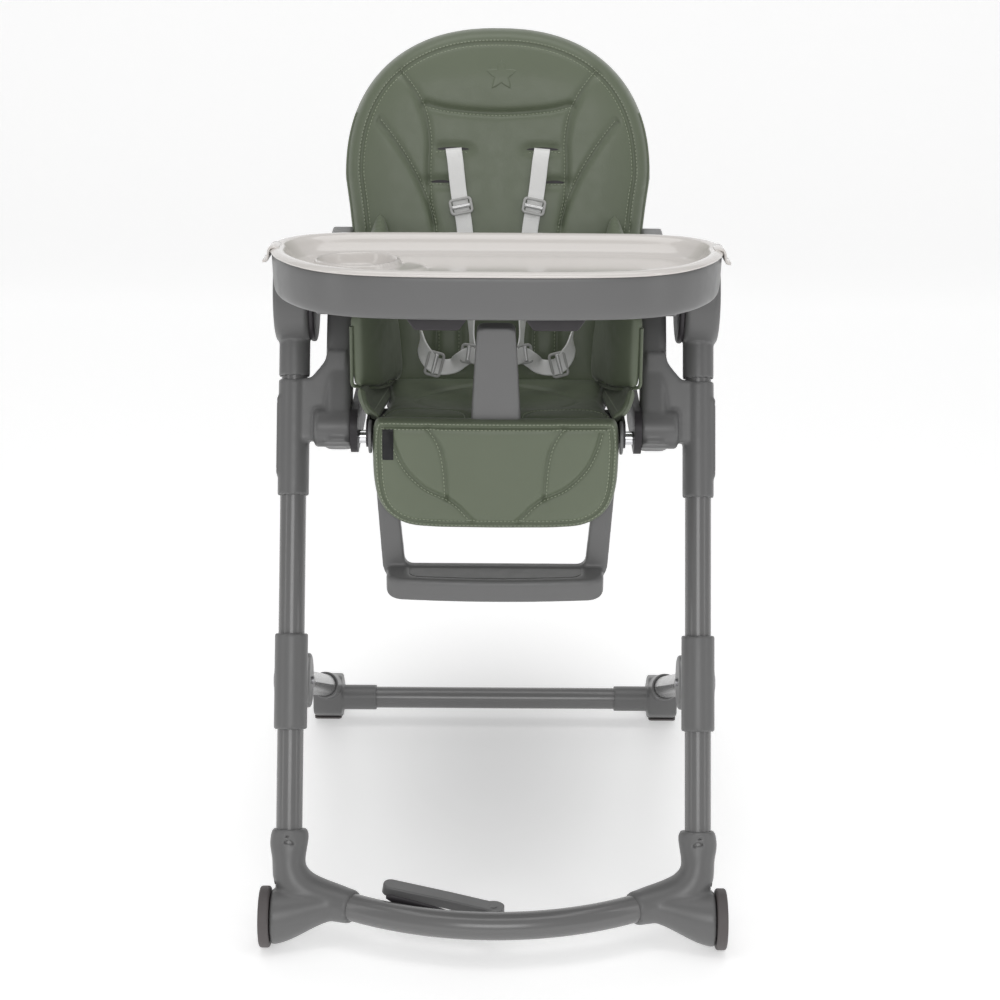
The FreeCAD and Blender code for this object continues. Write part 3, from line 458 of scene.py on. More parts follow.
def distance_to(points: Array, line: Array) -> Array:
    """Distance from each point to a line of short runs.

    Args:
        points: Points, n by 2.
        line: Points along the line, m by 2.

    Returns:
        Nearest distance for each point.
    """
    start = line[:-1]
    run = line[1:] - start
    length = np.maximum(np.sum(run * run, -1), 1e-16)
    best = np.full(len(points), np.inf)
    for first in range(0, len(points), 6000):
        part = points[first:first + 6000]
        offset = part[:, None] - start[None]
        share = np.clip(np.sum(offset * run[None], -1) / length[None], 0.0, 1.0)
        gap = offset - share[..., None] * run[None]
        best[first:first + 6000] = np.sqrt(np.min(np.sum(gap * gap, -1), 1))
    return best


@dataclass
class Panel:
    """A stuffed panel: a smooth outline in a work plane, domed, with grooves where it is sewn."""

    plane: WorkPlane
    outline: Array
    depth: float
    edge: float
    crown: float
    seams: list[Seam] = field(default_factory=list)
    floor: float = 0.0
    shape: Optional[Callable[[Array, Array], Array]] = None
    rings: int = 90

    def height(self, flat: Array) -> Array:
        """Height of the face: edge rounding + crown + puff near seams - groove at each seam.

        Args:
            flat: Points in the plane, n by 2, in metres.

        Returns:
            Height over the plane for each point.
        """
        closed = np.concatenate([self.outline, self.outline[:1]])
        inside = distance_to(flat, closed)
        near = np.clip(inside / self.edge, 0.0, 1.0)
        rounding = np.sqrt(np.maximum(0.0, 1.0 - (1.0 - near) ** 2))
        span = np.clip(inside / (self.edge * 4.0), 0.0, 1.0)
        height = self.depth * rounding + self.crown * np.sin(span * math.pi / 2)
        for seam in self.seams:
            gap = distance_to(flat, seam.line())
            groove = np.exp(-(gap / (seam.width * MM)) ** 2)
            rise = 1.0 - np.exp(-gap / (seam.reach * MM * CHEEK_RISE))
            cheek = rise * np.exp(-gap / (seam.reach * MM * CHEEK_FALL))
            height += (seam.puff * cheek - seam.depth * groove) * MM * rounding
        if self.shape is not None:
            height += self.shape(flat[:, 0], flat[:, 1]) * rounding
        return height

    def surface(self, flat: Array) -> Array:
        """Points of the face over points of the plane."""
        return self.plane.place(flat[:, 0], flat[:, 1], self.floor + self.height(flat))

    def build(self, name: str, finish: Finish) -> bpy.types.Object:
        """Make the closed panel: rings from the outline to the middle, domed in front and flat behind.

        Args:
            name: Piece name.
            finish: What it is finished in.

        Returns:
            The new piece.
        """
        share = 1.0 - (1.0 - np.linspace(1.0, 0.0, self.rings)[:-1]) ** 1.35
        middle = self.outline.mean(0)
        flat = middle + share[:, None, None] * (self.outline - middle)[None]
        count = len(self.outline)
        face = self.surface(np.concatenate([flat.reshape(-1, 2), middle[None]]))
        steps = np.linspace(1.0, 0.0, 10)[1:]
        behind = middle + steps[:, None, None] ** 0.8 * (self.outline - middle)[None] * 0.985
        under = behind.reshape(-1, 2)
        sunk = np.full(len(under), self.floor - 0.0015)
        back = self.plane.place(under[:, 0], under[:, 1], sunk)
        points = np.concatenate([face, back])
        rows = self.rings - 1
        front_faces = grid_faces(rows, count, wrap=True)
        ring = np.arange(count)
        after = (ring + 1) % count
        hub = rows * count
        last = (rows - 1) * count
        cap = np.stack([last + ring, last + after, np.full(count, hub), np.full(count, hub)], -1)
        first_back = hub + 1
        join = np.stack([after, ring, first_back + ring, first_back + after], -1)
        back_faces = grid_faces(len(steps), count, wrap=True, first=first_back)[:, ::-1]
        faces = np.concatenate([front_faces, cap, join, back_faces])
        return make_piece(name, points, faces, finish)


def swell(piece: bpy.types.Object, voxel: float, pressure: float, cap: float, frames: int = 20) -> None:
    """Inflate a pad as cloth: remesh it, blow it up a little and cap how far a point may go.

    Args:
        piece: The pad, changed in place.
        voxel: Remesh size in metres.
        pressure: Cloth pressure.
        cap: Farthest that a point may move, in metres.
        frames: Frames of simulation.
    """
    scene = bpy.context.scene
    remesh = piece.modifiers.new("remesh", "REMESH")
    remesh.mode = "VOXEL"
    remesh.voxel_size = voxel
    remesh.use_smooth_shade = True
    apply_modifiers(piece)
    before = vertices_of(piece)
    cloth = piece.modifiers.new("cloth", "CLOTH")
    cloth.settings.quality = 5
    cloth.settings.mass = 0.3
    cloth.settings.tension_stiffness = 25
    cloth.settings.compression_stiffness = 25
    cloth.settings.shear_stiffness = 10
    cloth.settings.bending_stiffness = 1.5
    cloth.settings.use_pressure = True
    cloth.settings.uniform_pressure_force = pressure
    cloth.settings.effector_weights.gravity = 0.0
    cloth.point_cache.frame_start = 1
    cloth.point_cache.frame_end = frames
    for number in range(1, frames + 1):
        scene.frame_set(number)
    apply_modifiers(piece)
    scene.frame_set(1)
    move = vertices_of(piece) - before
    length = np.linalg.norm(move, axis=1, keepdims=True)
    limited = cap * np.tanh(length / cap)
    put_vertices(piece, before + move / np.maximum(length, 1e-9) * limited)


def apply_modifiers(piece: bpy.types.Object) -> None:
    """Replace the mesh by what its modifiers give, and remove them."""
    evaluated = piece.evaluated_get(bpy.context.evaluated_depsgraph_get())
    mesh = bpy.data.meshes.new_from_object(evaluated)
    old = piece.data
    piece.modifiers.clear()
    piece.data = mesh
    bpy.data.meshes.remove(old)


def vertices_of(piece: bpy.types.Object) -> Array:
    """Mesh vertices as an array, n by 3."""
    flat = np.empty(len(piece.data.vertices) * 3)
    piece.data.vertices.foreach_get("co", flat)
    return flat.reshape(-1, 3)


def put_vertices(piece: bpy.types.Object, points: Array) -> None:
    """Write an array back as the mesh's vertices."""
    piece.data.vertices.foreach_set("co", points.ravel())
    piece.data.update()


def seen_from(piece: bpy.types.Object, points: Array, towards: Array,
              reach: float = 0.05) -> tuple[Array, Array]:
    """Drop points on to a piece along a direction.

    Args:
        piece: Piece to land on.
        points: Starting places, near its surface.
        towards: Direction out of the surface; the points start this way from it.
        reach: How far out they start.

    Returns:
        Points on the surface and its normals there; a miss keeps its own place.
    """
    bpy.context.view_layer.update()
    places = points.copy()
    outward = np.broadcast_to(unit(towards), points.shape)
    normals = outward.copy()
    for number, (origin, aim) in enumerate(zip(points + outward * reach, -outward)):
        hit, place, normal, _ = piece.ray_cast(Vector(origin), Vector(aim))
        if hit:
            places[number] = place
            normals[number] = normal
    return places, normals


def stitches(name: str, points: Array, normals: Array, pitch: float = 0.0047, length: float = 0.0033,
             radius: float = 0.00055, closed: bool = False) -> tuple[Array, Array]:
    """Row of short threads that lie along a line on a surface.

    Args:
        name: What the row belongs to, for the log.
        points: Points of the line.
        normals: Surface normals there.
        pitch: Distance from one stitch to the next.
        length: Length of a stitch.
        radius: Thread radius.
        closed: The line joins its own start.

    Returns:
        Vertices and faces of all the stitches, each a rounded bar of three rings and two ends.
    """
    if closed:
        points = np.concatenate([points, points[:1]])
        normals = np.concatenate([normals, normals[:1]])
    run = np.concatenate([[0.0], np.cumsum(np.linalg.norm(np.diff(points, axis=0), axis=1))])
    count = max(1, int(run[-1] / pitch))
    centre = (np.arange(count) + 0.5) * run[-1] / count
    sides = 6

    def at_run(distance: Array, values: Array) -> Array:
        """Values at distances along the line."""
        return np.stack([np.interp(distance, run, values[:, axis]) for axis in range(3)], -1)

    shares = np.array([-1.0, -0.72, 0.0, 0.72, 1.0])
    swell_to = np.array([0.0, 0.85, 1.0, 0.85, 0.0])
    spot = np.clip(centre[:, None] + shares[None] * length / 2, 0.0, run[-1])
    middle = at_run(spot.ravel(), points).reshape(count, 5, 3)
    up = unit(at_run(centre, normals))[:, None]
    ahead = unit(middle[:, 4] - middle[:, 0])[:, None]
    across = np.cross(up, ahead)
    angle = np.arange(sides) * 2 * math.pi / sides
    lift = radius * (0.55 - 0.9 * np.abs(shares) ** 3)
    rings = (middle[:, 1:4, None] + up[:, :, None] * lift[1:4][None, :, None, None]
             + across[:, :, None] * (np.cos(angle) * radius)[None, None, :, None] * swell_to[1:4][None, :, None, None]
             + up[:, :, None] * (np.sin(angle) * radius)[None, None, :, None] * swell_to[1:4][None, :, None, None])
    tips = middle[:, [0, 4]] + up * lift[[0, 4]][None, :, None]
    vertices = np.concatenate([rings.reshape(count, -1, 3), tips], 1)
    single = grid_faces(3, sides, wrap=True)
    ring = np.arange(sides)
    after = (ring + 1) % sides
    start = np.stack([after, ring, np.full(sides, 3 * sides), np.full(sides, 3 * sides)], -1)
    end = np.stack([2 * sides + ring, 2 * sides + after, np.full(sides, 3 * sides + 1),
                    np.full(sides, 3 * sides + 1)], -1)
    single = np.concatenate([single, start, end])
    size = 3 * sides + 2
    faces = (single[None] + (np.arange(count) * size)[:, None, None]).reshape(-1, 4)
    log.info("%s: %d stitches", name, count)
    return vertices.reshape(-1, 3), faces


def sew(name: str, rows: Sequence[tuple[Array, Array]], finish: Finish) -> bpy.types.Object:
    """Put several rows of stitches into one piece."""
    vertices, faces = [], []
    first = 0
    for points, corners in rows:
        vertices.append(points)
        faces.append(corners + first)
        first += len(points)
    return make_piece(name, np.concatenate(vertices), np.concatenate(faces), finish)


def beside(line: Array, distance: float) -> Array:
    """A plane line moved sideways: point + left normal * distance."""
    ahead = unit(np.gradient(line, axis=0))
    return line + np.stack([-ahead[:, 1], ahead[:, 0]], -1) * distance


def shrunk(outline: Array, distance: float) -> Array:
    """A closed plane outline moved inwards by a distance, even at its corners."""
    ahead = unit(np.roll(outline, -1, 0) - np.roll(outline, 1, 0))
    x, y = outline[:, 0], outline[:, 1]
    turn = np.sign(np.sum(x * np.roll(y, -1) - y * np.roll(x, -1)))
    return outline + turn * np.stack([-ahead[:, 1], ahead[:, 0]], -1) * distance


# ---------------------------------------------------------------- seat goods
@dataclass
class Backrest:
    """Padded backrest with a sewn rim, a headrest panel, side petals and slots for the shoulder straps."""

    half: float = 0.1985
    shoulder: float = 0.290
    crown: float = 0.192
    roundness: float = 2.3
    foot: tuple[tuple[float, float], ...] = ((193, 250), (188, 205), (181, 150), (170, 90), (158, 35),
                                             (150, 8))
    slots: tuple[tuple[float, float, float], ...] = ((37, 78, 324), (60, 86, 282))

    def outline(self, count: int = 300) -> Array:
        """Closed outline: a super-ellipse crown, |x/a|^n + |y/b|^n = 1, over smoothly tapered sides."""
        angle = np.linspace(0.0, math.pi, 60)
        power = 2.0 / self.roundness
        x = self.half * np.sign(np.cos(angle)) * np.abs(np.cos(angle)) ** power
        y = self.shoulder + self.crown * np.sin(angle) ** power
        top = np.stack([x, y], -1)
        side = np.array(self.foot) * MM
        low = smooth_line([(self.half, self.shoulder), *side.tolist(), (0.120, 0.002)], 50)[1:]
        left = low * np.array([-1.0, 1.0])
        loop = np.concatenate([top, left, [[0.0, 0.002]], low[::-1]])
        run = np.concatenate([[0.0], np.cumsum(np.linalg.norm(np.diff(loop, axis=0), axis=1))])
        even = np.linspace(0.0, run[-1], count, endpoint=False)
        return np.stack([np.interp(even, run, loop[:, 0]), np.interp(even, run, loop[:, 1])], -1)

    def seams(self) -> list[Seam]:
        """Rim, headrest panel, petals and the channels of the lower back."""
        rim = shrunk(self.outline(), 0.0225)
        rim = rim[rim[:, 1] > 0.195]
        order = np.argsort(np.arctan2(rim[:, 1] - 0.2, rim[:, 0]))
        rim_line = tuple(map(tuple, (rim[order][::3] / MM).tolist()))
        side = ((128, 424), (115, 408), (103, 390), (93, 366), (88, 334), (89, 303), (88, 262), (82, 228),
                (79, 180), (78, 120), (78, 60))
        petal = ((153, 360), (138, 341), (122, 318), (104, 287), (90, 255), (82, 228))
        tuck = ((166, 205), (152, 190), (143, 160), (138, 110), (137, 50))
        return [
            Seam(rim_line, 2.4, 2.6, 16.0, 1.2),
            *both([Seam(side, 3.6, 3.0, 26.0, 2.6, -3.2), Seam(petal, 3.4, 3.0, 22.0, 2.6, -3.0),
                   Seam(tuck, 4.0, 4.0, 18.0, 1.5)]),
            Seam(((-93, 381), (-60, 374), (0, 370), (60, 374), (93, 381)), 4.6, 4.0, 30.0, 3.4, -3.4),
            *both([Seam(((48, 200), (47, 120), (47, 40)), 2.2, 2.4, 16.0, 1.6, 2.2)]),
        ]

    def dimples(self, u: Array, v: Array) -> Array:
        """Hollows at the strap slots, a fuller headrest and middle: a sum of Gaussian bumps."""
        total = 0.0035 * np.exp(-(u / 0.10) ** 2 - ((v - 0.415) / 0.035) ** 2)
        total += 0.0030 * np.exp(-(u / 0.030) ** 2 - ((v - 0.26) / 0.11) ** 2)
        for inner, outer, height in self.slots:
            middle = (inner + outer) / 2 * MM
            for side in (-1, 1):
                along = (u - side * middle) / 0.024
                total -= 0.0042 * np.exp(-along ** 4 - ((v - height * MM) / 0.0075) ** 2)
        return total

    def panel(self) -> Panel:
        """The panel that all of the back's details lie on."""
        return Panel(BACK_PLANE, self.outline(), 0.034, 0.017, 0.0075, self.seams(), -0.0475,
                     self.dimples, 120)

    def build(self) -> None:
        """Make the pad, its stitches, its slots, the piping along its sides and the plain star."""
        panel = self.panel()
        pad = panel.build("back_cushion", SAGE)
        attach(pad, "backrest")
        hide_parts("back_pad")
        out = np.array(BACK_PLANE.w_axis)
        rows = []
        for seam in panel.seams:
            if seam.stitched:
                rows.append(self.on_pad(pad, panel, beside(seam.line(240), seam.stitched * MM), out))
        inner = panel.outline
        for inset in (0.0192, 0.0260):
            ring = shrunk(inner, inset)
            ring = ring[ring[:, 1] > 0.205]
            ring = ring[np.argsort(np.arctan2(ring[:, 1] - 0.2, ring[:, 0]))]
            rows.append(self.on_pad(pad, panel, smooth_line(ring[::4], 500), out))
        for inner_end, outer_end, height in self.slots:
            for side in (-1, 1):
                run = np.linspace(inner_end + 2, outer_end + 3, 30) * side
                line = np.stack([run, np.full(30, height - 2.6) - 0.004 * (run - run.mean()) ** 2],
                                -1) * MM
                rows.append(self.on_pad(pad, panel, line, out))
        thread = sew("back_stitches", rows, THREAD)
        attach(thread, "backrest")
        self.build_slots(panel)
        self.build_piping(panel)
        self.build_star(panel)
        log.info("backrest: pad, stitches, slots, piping and star")

    @staticmethod
    def on_pad(pad: bpy.types.Object, panel: Panel, line: Array, out: Array) -> tuple[Array, Array]:
        """Row of stitches over a plane line, dropped on to the pad."""
        points = panel.surface(line)
        places, normals = seen_from(pad, points, out)
        return stitches(pad.name, places, normals)

    def build_slots(self, panel: Panel) -> None:
        """Lens-shaped openings where the straps pass through, each filled with a dark sheet of painted shade: width
        tapers to both ends.
        """
        for number, (inner, outer, height) in enumerate(self.slots):
            for side, word in ((-1, "right"), (1, "left")):
                run = np.linspace(inner, outer, 24) * side
                share = np.linspace(-1.0, 1.0, 24)
                half = 1.7 * np.sqrt(np.maximum(1.0 - share ** 2, 0.0)) + 0.05
                rise = height + 0.9 * (1.0 - share ** 2)
                low = panel.surface(np.stack([run, rise - half], -1) * MM)
                high = panel.surface(np.stack([run, rise + half], -1) * MM)
                lift = np.array(BACK_PLANE.w_axis) * 0.0005
                under = -np.array(BACK_PLANE.w_axis) * 0.0025
                sheet = np.stack([low + lift, high + lift, high + under, low + under])
                columns = 24
                faces = grid_faces(4, columns)
                last = np.stack([3 * columns + np.arange(columns - 1), 3 * columns + np.arange(1, columns),
                                 np.arange(1, columns), np.arange(columns - 1)], -1)
                ends = np.array([[0, columns, 2 * columns, 3 * columns],
                                 [4 * columns - 1, 3 * columns - 1, 2 * columns - 1, columns - 1]])
                corners = np.concatenate([faces, last, ends])
                corners = corners if side < 0 else corners[:, ::-1]
                # The dark sheet is painted shade for the inside of the opening.
                piece = make_piece(f"strap_slot_{number}_{word}", sheet.reshape(-1, 3), corners, DARK,
                                   smooth=False)
                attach(piece, "backrest")

    def build_piping(self, panel: Panel) -> None:
        """Thin rolled edge down both sides of the rim, just inside the silhouette."""
        ring = shrunk(panel.outline, 0.0035)
        for side, word in ((-1, "right"), (1, "left")):
            run = ring[(ring[:, 0] * side > 0.06) & (ring[:, 1] > 0.03) & (ring[:, 1] < 0.375)]
            run = run[np.argsort(np.arctan2(run[:, 1] - 0.2, run[:, 0] * side))]
            line = smooth_line(run[::3], 220)
            path = panel.surface(line) + np.array(BACK_PLANE.w_axis) * 0.0003
            facing = np.tile(np.array(BACK_PLANE.w_axis), (len(path), 1))
            piece = tube_along(f"rim_piping_{word}", path, rounded_profile(0.0034, 0.0034, 0.00165),
                               facing, SAGE)
            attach(piece, "backrest")

    @staticmethod
    def build_star(panel: Panel) -> None:
        """Plain raised five-pointed star: radius swings between points, height falls at the rim."""
        count, rings = 200, 10
        angle = np.linspace(0.0, 2 * math.pi, count, endpoint=False)
        swing = np.abs(((angle * 5 / (2 * math.pi)) % 1.0) * 2 - 1)
        reach = 0.0105 + (0.0215 - 0.0105) * swing ** 1.6
        share = np.linspace(1.0, 0.0, rings)[:-1]
        turn = angle + math.pi / 2
        flat = np.stack([share[:, None] * (reach * np.cos(turn))[None] + 0.004,
                         share[:, None] * (reach * np.sin(turn))[None] + 0.4175], -1)
        lift = 0.0011 * np.sqrt(np.maximum(0.0,
                                           1.0 - np.clip((share - 0.72) / 0.28, 0.0, 1.0) ** 2)) - 0.0003
        base = panel.surface(flat.reshape(-1, 2)).reshape(rings - 1, count, 3)
        raised = base + np.array(BACK_PLANE.w_axis) * lift[:, None, None]
        middle = panel.surface(np.array([[0.004, 0.4175]])) + np.array(BACK_PLANE.w_axis) * 0.0008
        foot = base[:1] - np.array(BACK_PLANE.w_axis) * 0.002
        points = np.concatenate([foot.reshape(-1, 3), raised.reshape(-1, 3), middle,
                                 foot.reshape(-1, 3).mean(0)[None]])
        ring = np.arange(count)
        after = (ring + 1) % count
        hub = rings * count
        last = (rings - 1) * count
        cap = np.stack([last + ring, last + after, np.full(count, hub), np.full(count, hub)], -1)
        bottom = np.stack([after, ring, np.full(count, hub + 1), np.full(count, hub + 1)], -1)
        faces = np.concatenate([grid_faces(rings, count, wrap=True), cap, bottom])
        piece = make_piece("headrest_star", points, faces, SAGE)
        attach(piece, "backrest")


@dataclass
class SideWing:
    """Padded wing beside the sitter: a curved sheet from the backrest round to its front edge."""

    side: int
    thickness: float = 0.015
    rows: int = 70
    columns: int = 110

    def sheet(self, share: Array, rise: Array) -> tuple[Array, Array, Array]:
        """Middle surface: a smooth plan curve raised between a low and a high edge.

        Args:
            share: 0 at the backrest, 1 at the front edge.
            rise: 0 at the low edge, 1 at the high edge.

        Returns:
            x, y and z of the surface, for the left wing.
        """
        knots = np.array([(0.128, 0.008), (0.134, -0.040), (0.1405, -0.090), (0.151, -0.135),
                          (0.1755, -0.160)])
        curve = smooth_line(knots, 80)
        spot = np.linspace(0.0, 1.0, 80)
        x = np.interp(share, spot, curve[:, 0])
        y = np.interp(share, spot, curve[:, 1])
        low = 0.624 + 0.041 * share
        high = 0.838 - 0.045 * share - 0.048 * share ** 3
        z = low + (high - low) * rise
        lean = math.tan(math.radians(12.4))
        y = y + (z - 0.624) * lean * (1 - share) ** 1.2
        x = x + 0.026 * rise * (1 - share)
        return x, y, z

    def build(self) -> None:
        """Make the wing as a closed quilted sheet, swell it, and add its piping and hem stitches."""
        word = "left" if self.side > 0 else "right"
        share = np.linspace(0.0, 1.0, self.columns)[None, :]
        rise = np.linspace(0.0, 1.0, self.rows)[:, None]
        share, rise = np.broadcast_arrays(share, rise)
        x, y, z = self.sheet(share, rise)
        middle = np.stack([x, y, z], -1)
        along = unit(np.gradient(middle, axis=1))
        upward = unit(np.gradient(middle, axis=0))
        normal = unit(np.cross(upward, along))
        edge = np.minimum(np.minimum(share, 1 - share) * 0.20, np.minimum(rise, 1 - rise) * 0.15)
        near = np.clip(edge / 0.011, 0.0, 1.0)
        full = np.sqrt(1.0 - (1.0 - near) ** 2)
        hem = np.exp(-((rise * 0.15 - 0.013) / 0.0030) ** 2)
        swollen = 1.0 + 0.35 * np.sin(math.pi * share) * np.sin(math.pi * rise)
        front = middle + normal * (self.thickness / 2 * full * swollen - 0.0022 * hem)[..., None]
        back = middle - normal * (self.thickness / 2 * full)[..., None]
        count = self.rows * self.columns
        points = np.concatenate([front.reshape(-1, 3), back.reshape(-1, 3)])
        faces = np.concatenate([grid_faces(self.rows, self.columns),
                                grid_faces(self.rows, self.columns, first=count)[:, ::-1],
                                self.rim(count)])
        points[:, 0] *= self.side
        faces = faces if self.side > 0 else faces[:, ::-1]
        wing = make_piece(f"side_wing_{word}", points, faces, SAGE)
        swell(wing, 0.004, 2.5, 0.006)
        smooth = wing.modifiers.new("smooth", "SUBSURF")
        smooth.levels = smooth.render_levels = 1
        apply_modifiers(wing)
        wing.data.materials.clear()
        wing.data.materials.append(SAGE.material())
        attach(wing, "backrest")
        self.trim(wing, middle, normal, word)
        log.info("wing %s: %d points", word, len(wing.data.vertices))

    def rim(self, count: int) -> Array:
        """Faces that join the front sheet to the back sheet all round."""
        rows, columns = self.rows, self.columns
        loop = np.concatenate([np.arange(columns), np.arange(1, rows) * columns + columns - 1,
                               (rows - 1) * columns + np.arange(columns - 2, -1, -1),
                               np.arange(rows - 2, 0, -1) * columns])
        after = np.roll(loop, -1)
        return np.stack([after, loop, loop + count, after + count], -1)

    def trim(self, wing: bpy.types.Object, middle: Array, normal: Array, word: str) -> None:
        """Piping round the front and low edges, and two rows of hem stitches."""
        flip = np.array([self.side, 1.0, 1.0])
        edge = np.concatenate([middle[0, 4:], middle[1:-3, -1]]) * flip
        facing = np.concatenate([normal[0, 4:], normal[1:-3, -1]]) * flip
        path = smooth_line(edge[::6], 200)
        turned = smooth_line(facing[::6], 200)
        profile = rounded_profile(0.0046, 0.0046, 0.0022)
        piping = tube_along(f"wing_piping_{word}", path, profile, turned, SAGE)
        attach(piping, "backrest")
        rows = []
        for height in (5, 9):
            line = smooth_line((middle[height, 6:-5] * flip)[::6], 160)
            out = smooth_line((normal[height, 6:-5] * flip)[::6], 160)
            places, normals = seen_from(wing, line, out)
            rows.append(stitches(f"wing {word}", places, normals))
        thread = sew(f"wing_stitches_{word}", rows, THREAD)
        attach(thread, "backrest")


@dataclass
class SeatCushion:
    """Seat cushion: swollen as cloth, then hollowed and sewn, with a welted front edge."""

    half: float = 0.145
    depth: float = 0.214
    thickness: float = 0.0225

    def outline(self) -> Array:
        """Rounded rectangle whose sides draw in slightly between the corners."""
        points = ((0, 2), (70, 2), (125, 4), (143, 14), (145, 60), (142, 120), (144, 180), (142, 222),
                  (110, 229),
                  (50, 230))
        left = tuple((-u, v) for u, v in points[1:])[::-1]
        return smooth_line([*points, (0, 230), *left], 260, closed=True) * MM

    def carve(self, u: Array, v: Array) -> Array:
        """Depth of the sitter's hollow and the seams: Gaussian hollows, summed."""
        hollow = 0.0075 * np.exp(-(np.abs(u) / 0.095) ** 4 - (np.abs(v - 0.125) / 0.060) ** 4)
        flat = np.stack([u, v], -1)
        total = hollow
        for seam in self.seams():
            gap = distance_to(flat, seam.line())
            total = total + seam.depth * MM * np.exp(-(gap / (seam.width * MM)) ** 2)
        return total

    @staticmethod
    def seams() -> list[Seam]:
        """Oval round the hollow, thigh curves beside the post, and the front welt line."""
        turns = np.linspace(0.35 * math.pi, 2.65 * math.pi, 40)
        oval = [(102 * math.cos(a), 125 + 62 * math.sin(a)) for a in turns]
        thigh = ((34, 14), (38, 30), (52, 44), (84, 52), (118, 50), (138, 36))
        return [Seam(tuple(oval), 1.6, 4.0), *both([Seam(thigh, 2.6, 3.6)]),
                Seam(((-140, 12), (-70, 11), (0, 11), (70, 11), (140, 12)), 1.8, 2.6)]

    def build(self) -> None:
        """Make, swell and carve the cushion, then add its front welt and stitches."""
        panel = Panel(SEAT_PLANE, self.outline(), self.thickness - 0.007, 0.013, 0.004, [],
                      -self.thickness, None, 60)
        pad = panel.build("seat_cushion", SAGE)
        swell(pad, 0.004, 4.0, 0.005)
        smooth = pad.modifiers.new("smooth", "SUBSURF")
        smooth.levels = smooth.render_levels = 1
        apply_modifiers(pad)
        points = vertices_of(pad) - np.array(SEAT_PLANE.origin)
        u, v = points[:, 0], points @ np.array(SEAT_PLANE.v_axis)
        w = points @ np.array(SEAT_PLANE.w_axis)
        upper = np.clip((w + self.thickness * 0.6) / (self.thickness * 0.3), 0.0, 1.0)
        climb = np.clip((v - 0.135) / 0.080, 0.0, 1.0)
        rise = 0.013 * climb ** 2 * (3 - 2 * climb) * upper
        carved = vertices_of(pad) + np.array(SEAT_PLANE.w_axis) * (rise - self.carve(u,
                                                                                     v) * upper)[:, None]
        put_vertices(pad, carved)
        pad.data.materials.clear()
        pad.data.materials.append(SAGE.material())
        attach(pad, "carriage")
        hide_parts("seat_pad")
        out = np.array(SEAT_PLANE.w_axis)
        rows = []
        for across in (9.0, 15.5):
            line = smooth_line([(-136, across), (-70, across - 0.6), (0, across - 1), (70, across - 0.6),
                                (136, across)], 240) * MM
            places, normals = seen_from(pad, SEAT_PLANE.place(line[:, 0], line[:, 1], np.zeros(240)), out)
            rows.append(stitches("seat front", places, normals))
        for seam in self.seams()[1:3]:
            line = beside(seam.line(200), 0.0028)
            places, normals = seen_from(pad, SEAT_PLANE.place(line[:, 0], line[:, 1], np.zeros(200)), out)
            rows.append(stitches("seat thigh", places, normals))
        thread = sew("seat_stitches", rows, THREAD)
        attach(thread, "carriage")
        log.info("seat cushion: %d points", len(pad.data.vertices))


@dataclass
class CalfFlap:
    """Quilted flap that hangs over the leg rest, bound with a sewn edge all round."""

    edge_points: tuple[tuple[float, float], ...] = (
        (0, 648.5), (70, 649), (125, 649.5), (141, 647), (146, 628), (146, 600), (144.5, 571), (139, 547),
        (126, 529), (104, 517.5), (75, 514.2), (40, 513.6))

    def outline(self) -> Array:
        """Closed outline with rounded lower corners."""
        left = tuple((-u, v) for u, v in self.edge_points[1:])[::-1]
        low = ((0, 513.4),)
        return smooth_line([*self.edge_points, *low, *left], 300, closed=True) * MM

    def seams(self) -> list[Seam]:
        """Bound edge and the two pairs of quilting curves."""
        bound = tuple(map(tuple, (shrunk(self.outline(), 0.0085)[::4] / MM).tolist()))
        bound = (*bound, bound[0])
        inner = ((79, 640), (71, 628), (65, 614), (61, 595), (59, 575), (58, 553))
        outer = ((124, 634), (118, 612), (106, 588), (84, 566), (58, 553), (44, 543), (34, 532), (28, 525))
        return [Seam(bound, 2.2, 2.0, 12.0, 1.2), *both([Seam(inner, 2.6, 2.8, 24.0, 2.2, 2.6),
                                                         Seam(outer, 2.8, 2.8, 24.0, 2.2, 2.6)])]

    def build(self) -> None:
        """Make the flap, its stitches and the plain side label."""
        panel = Panel(FLAP_PLANE, self.outline(), 0.0075, 0.0055, 0.0045, self.seams(), 0.0, None, 110)
        flap = panel.build("calf_flap", SAGE)
        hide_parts("calf_pad")
        out = np.array(FLAP_PLANE.w_axis)
        rows = []
        for seam in panel.seams:
            if seam.stitched:
                line = beside(seam.line(240), seam.stitched * MM)
                places, normals = seen_from(flap, panel.surface(line), out)
                rows.append(stitches("flap", places, normals))
        for inset in (0.0050, 0.0115):
            ring = smooth_line(shrunk(panel.outline, inset)[::4], 700, closed=True)
            places, normals = seen_from(flap, panel.surface(ring), out)
            rows.append(stitches("flap edge", places, normals, closed=True))
        thread = sew("flap_stitches", rows, THREAD)
        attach(flap, "leg_rest")
        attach(thread, "leg_rest")
        self.label(panel)
        log.info("calf flap")

    @staticmethod
    def label(panel: Panel) -> None:
        """Blank woven label, sewn into the flap's edge: a thin slab that follows the flap."""
        u = np.linspace(-134, -121, 14) * MM
        v = np.linspace(601, 638, 30) * MM
        across, along = np.meshgrid(u, v)
        flat = np.stack([across.ravel(), along.ravel()], -1)
        base = panel.plane.place(flat[:, 0], flat[:, 1], panel.height(flat) + 0.0006)
        out = np.array(FLAP_PLANE.w_axis)
        count = len(base)
        points = np.concatenate([base + out * 0.0008, base - out * 0.0004])
        loop = np.concatenate([np.arange(14), np.arange(1, 30) * 14 + 13, 29 * 14 + np.arange(12, -1, -1),
                               np.arange(28, 0, -1) * 14])
        after = np.roll(loop, -1)
        faces = np.concatenate([grid_faces(30, 14), grid_faces(30, 14, first=count)[:, ::-1],
                                np.stack([after, loop, loop + count, after + count], -1)])
        piece = make_piece("flap_label", points, faces, LABEL, smooth=False)
        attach(piece, "leg_rest")
        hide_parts("side_label")


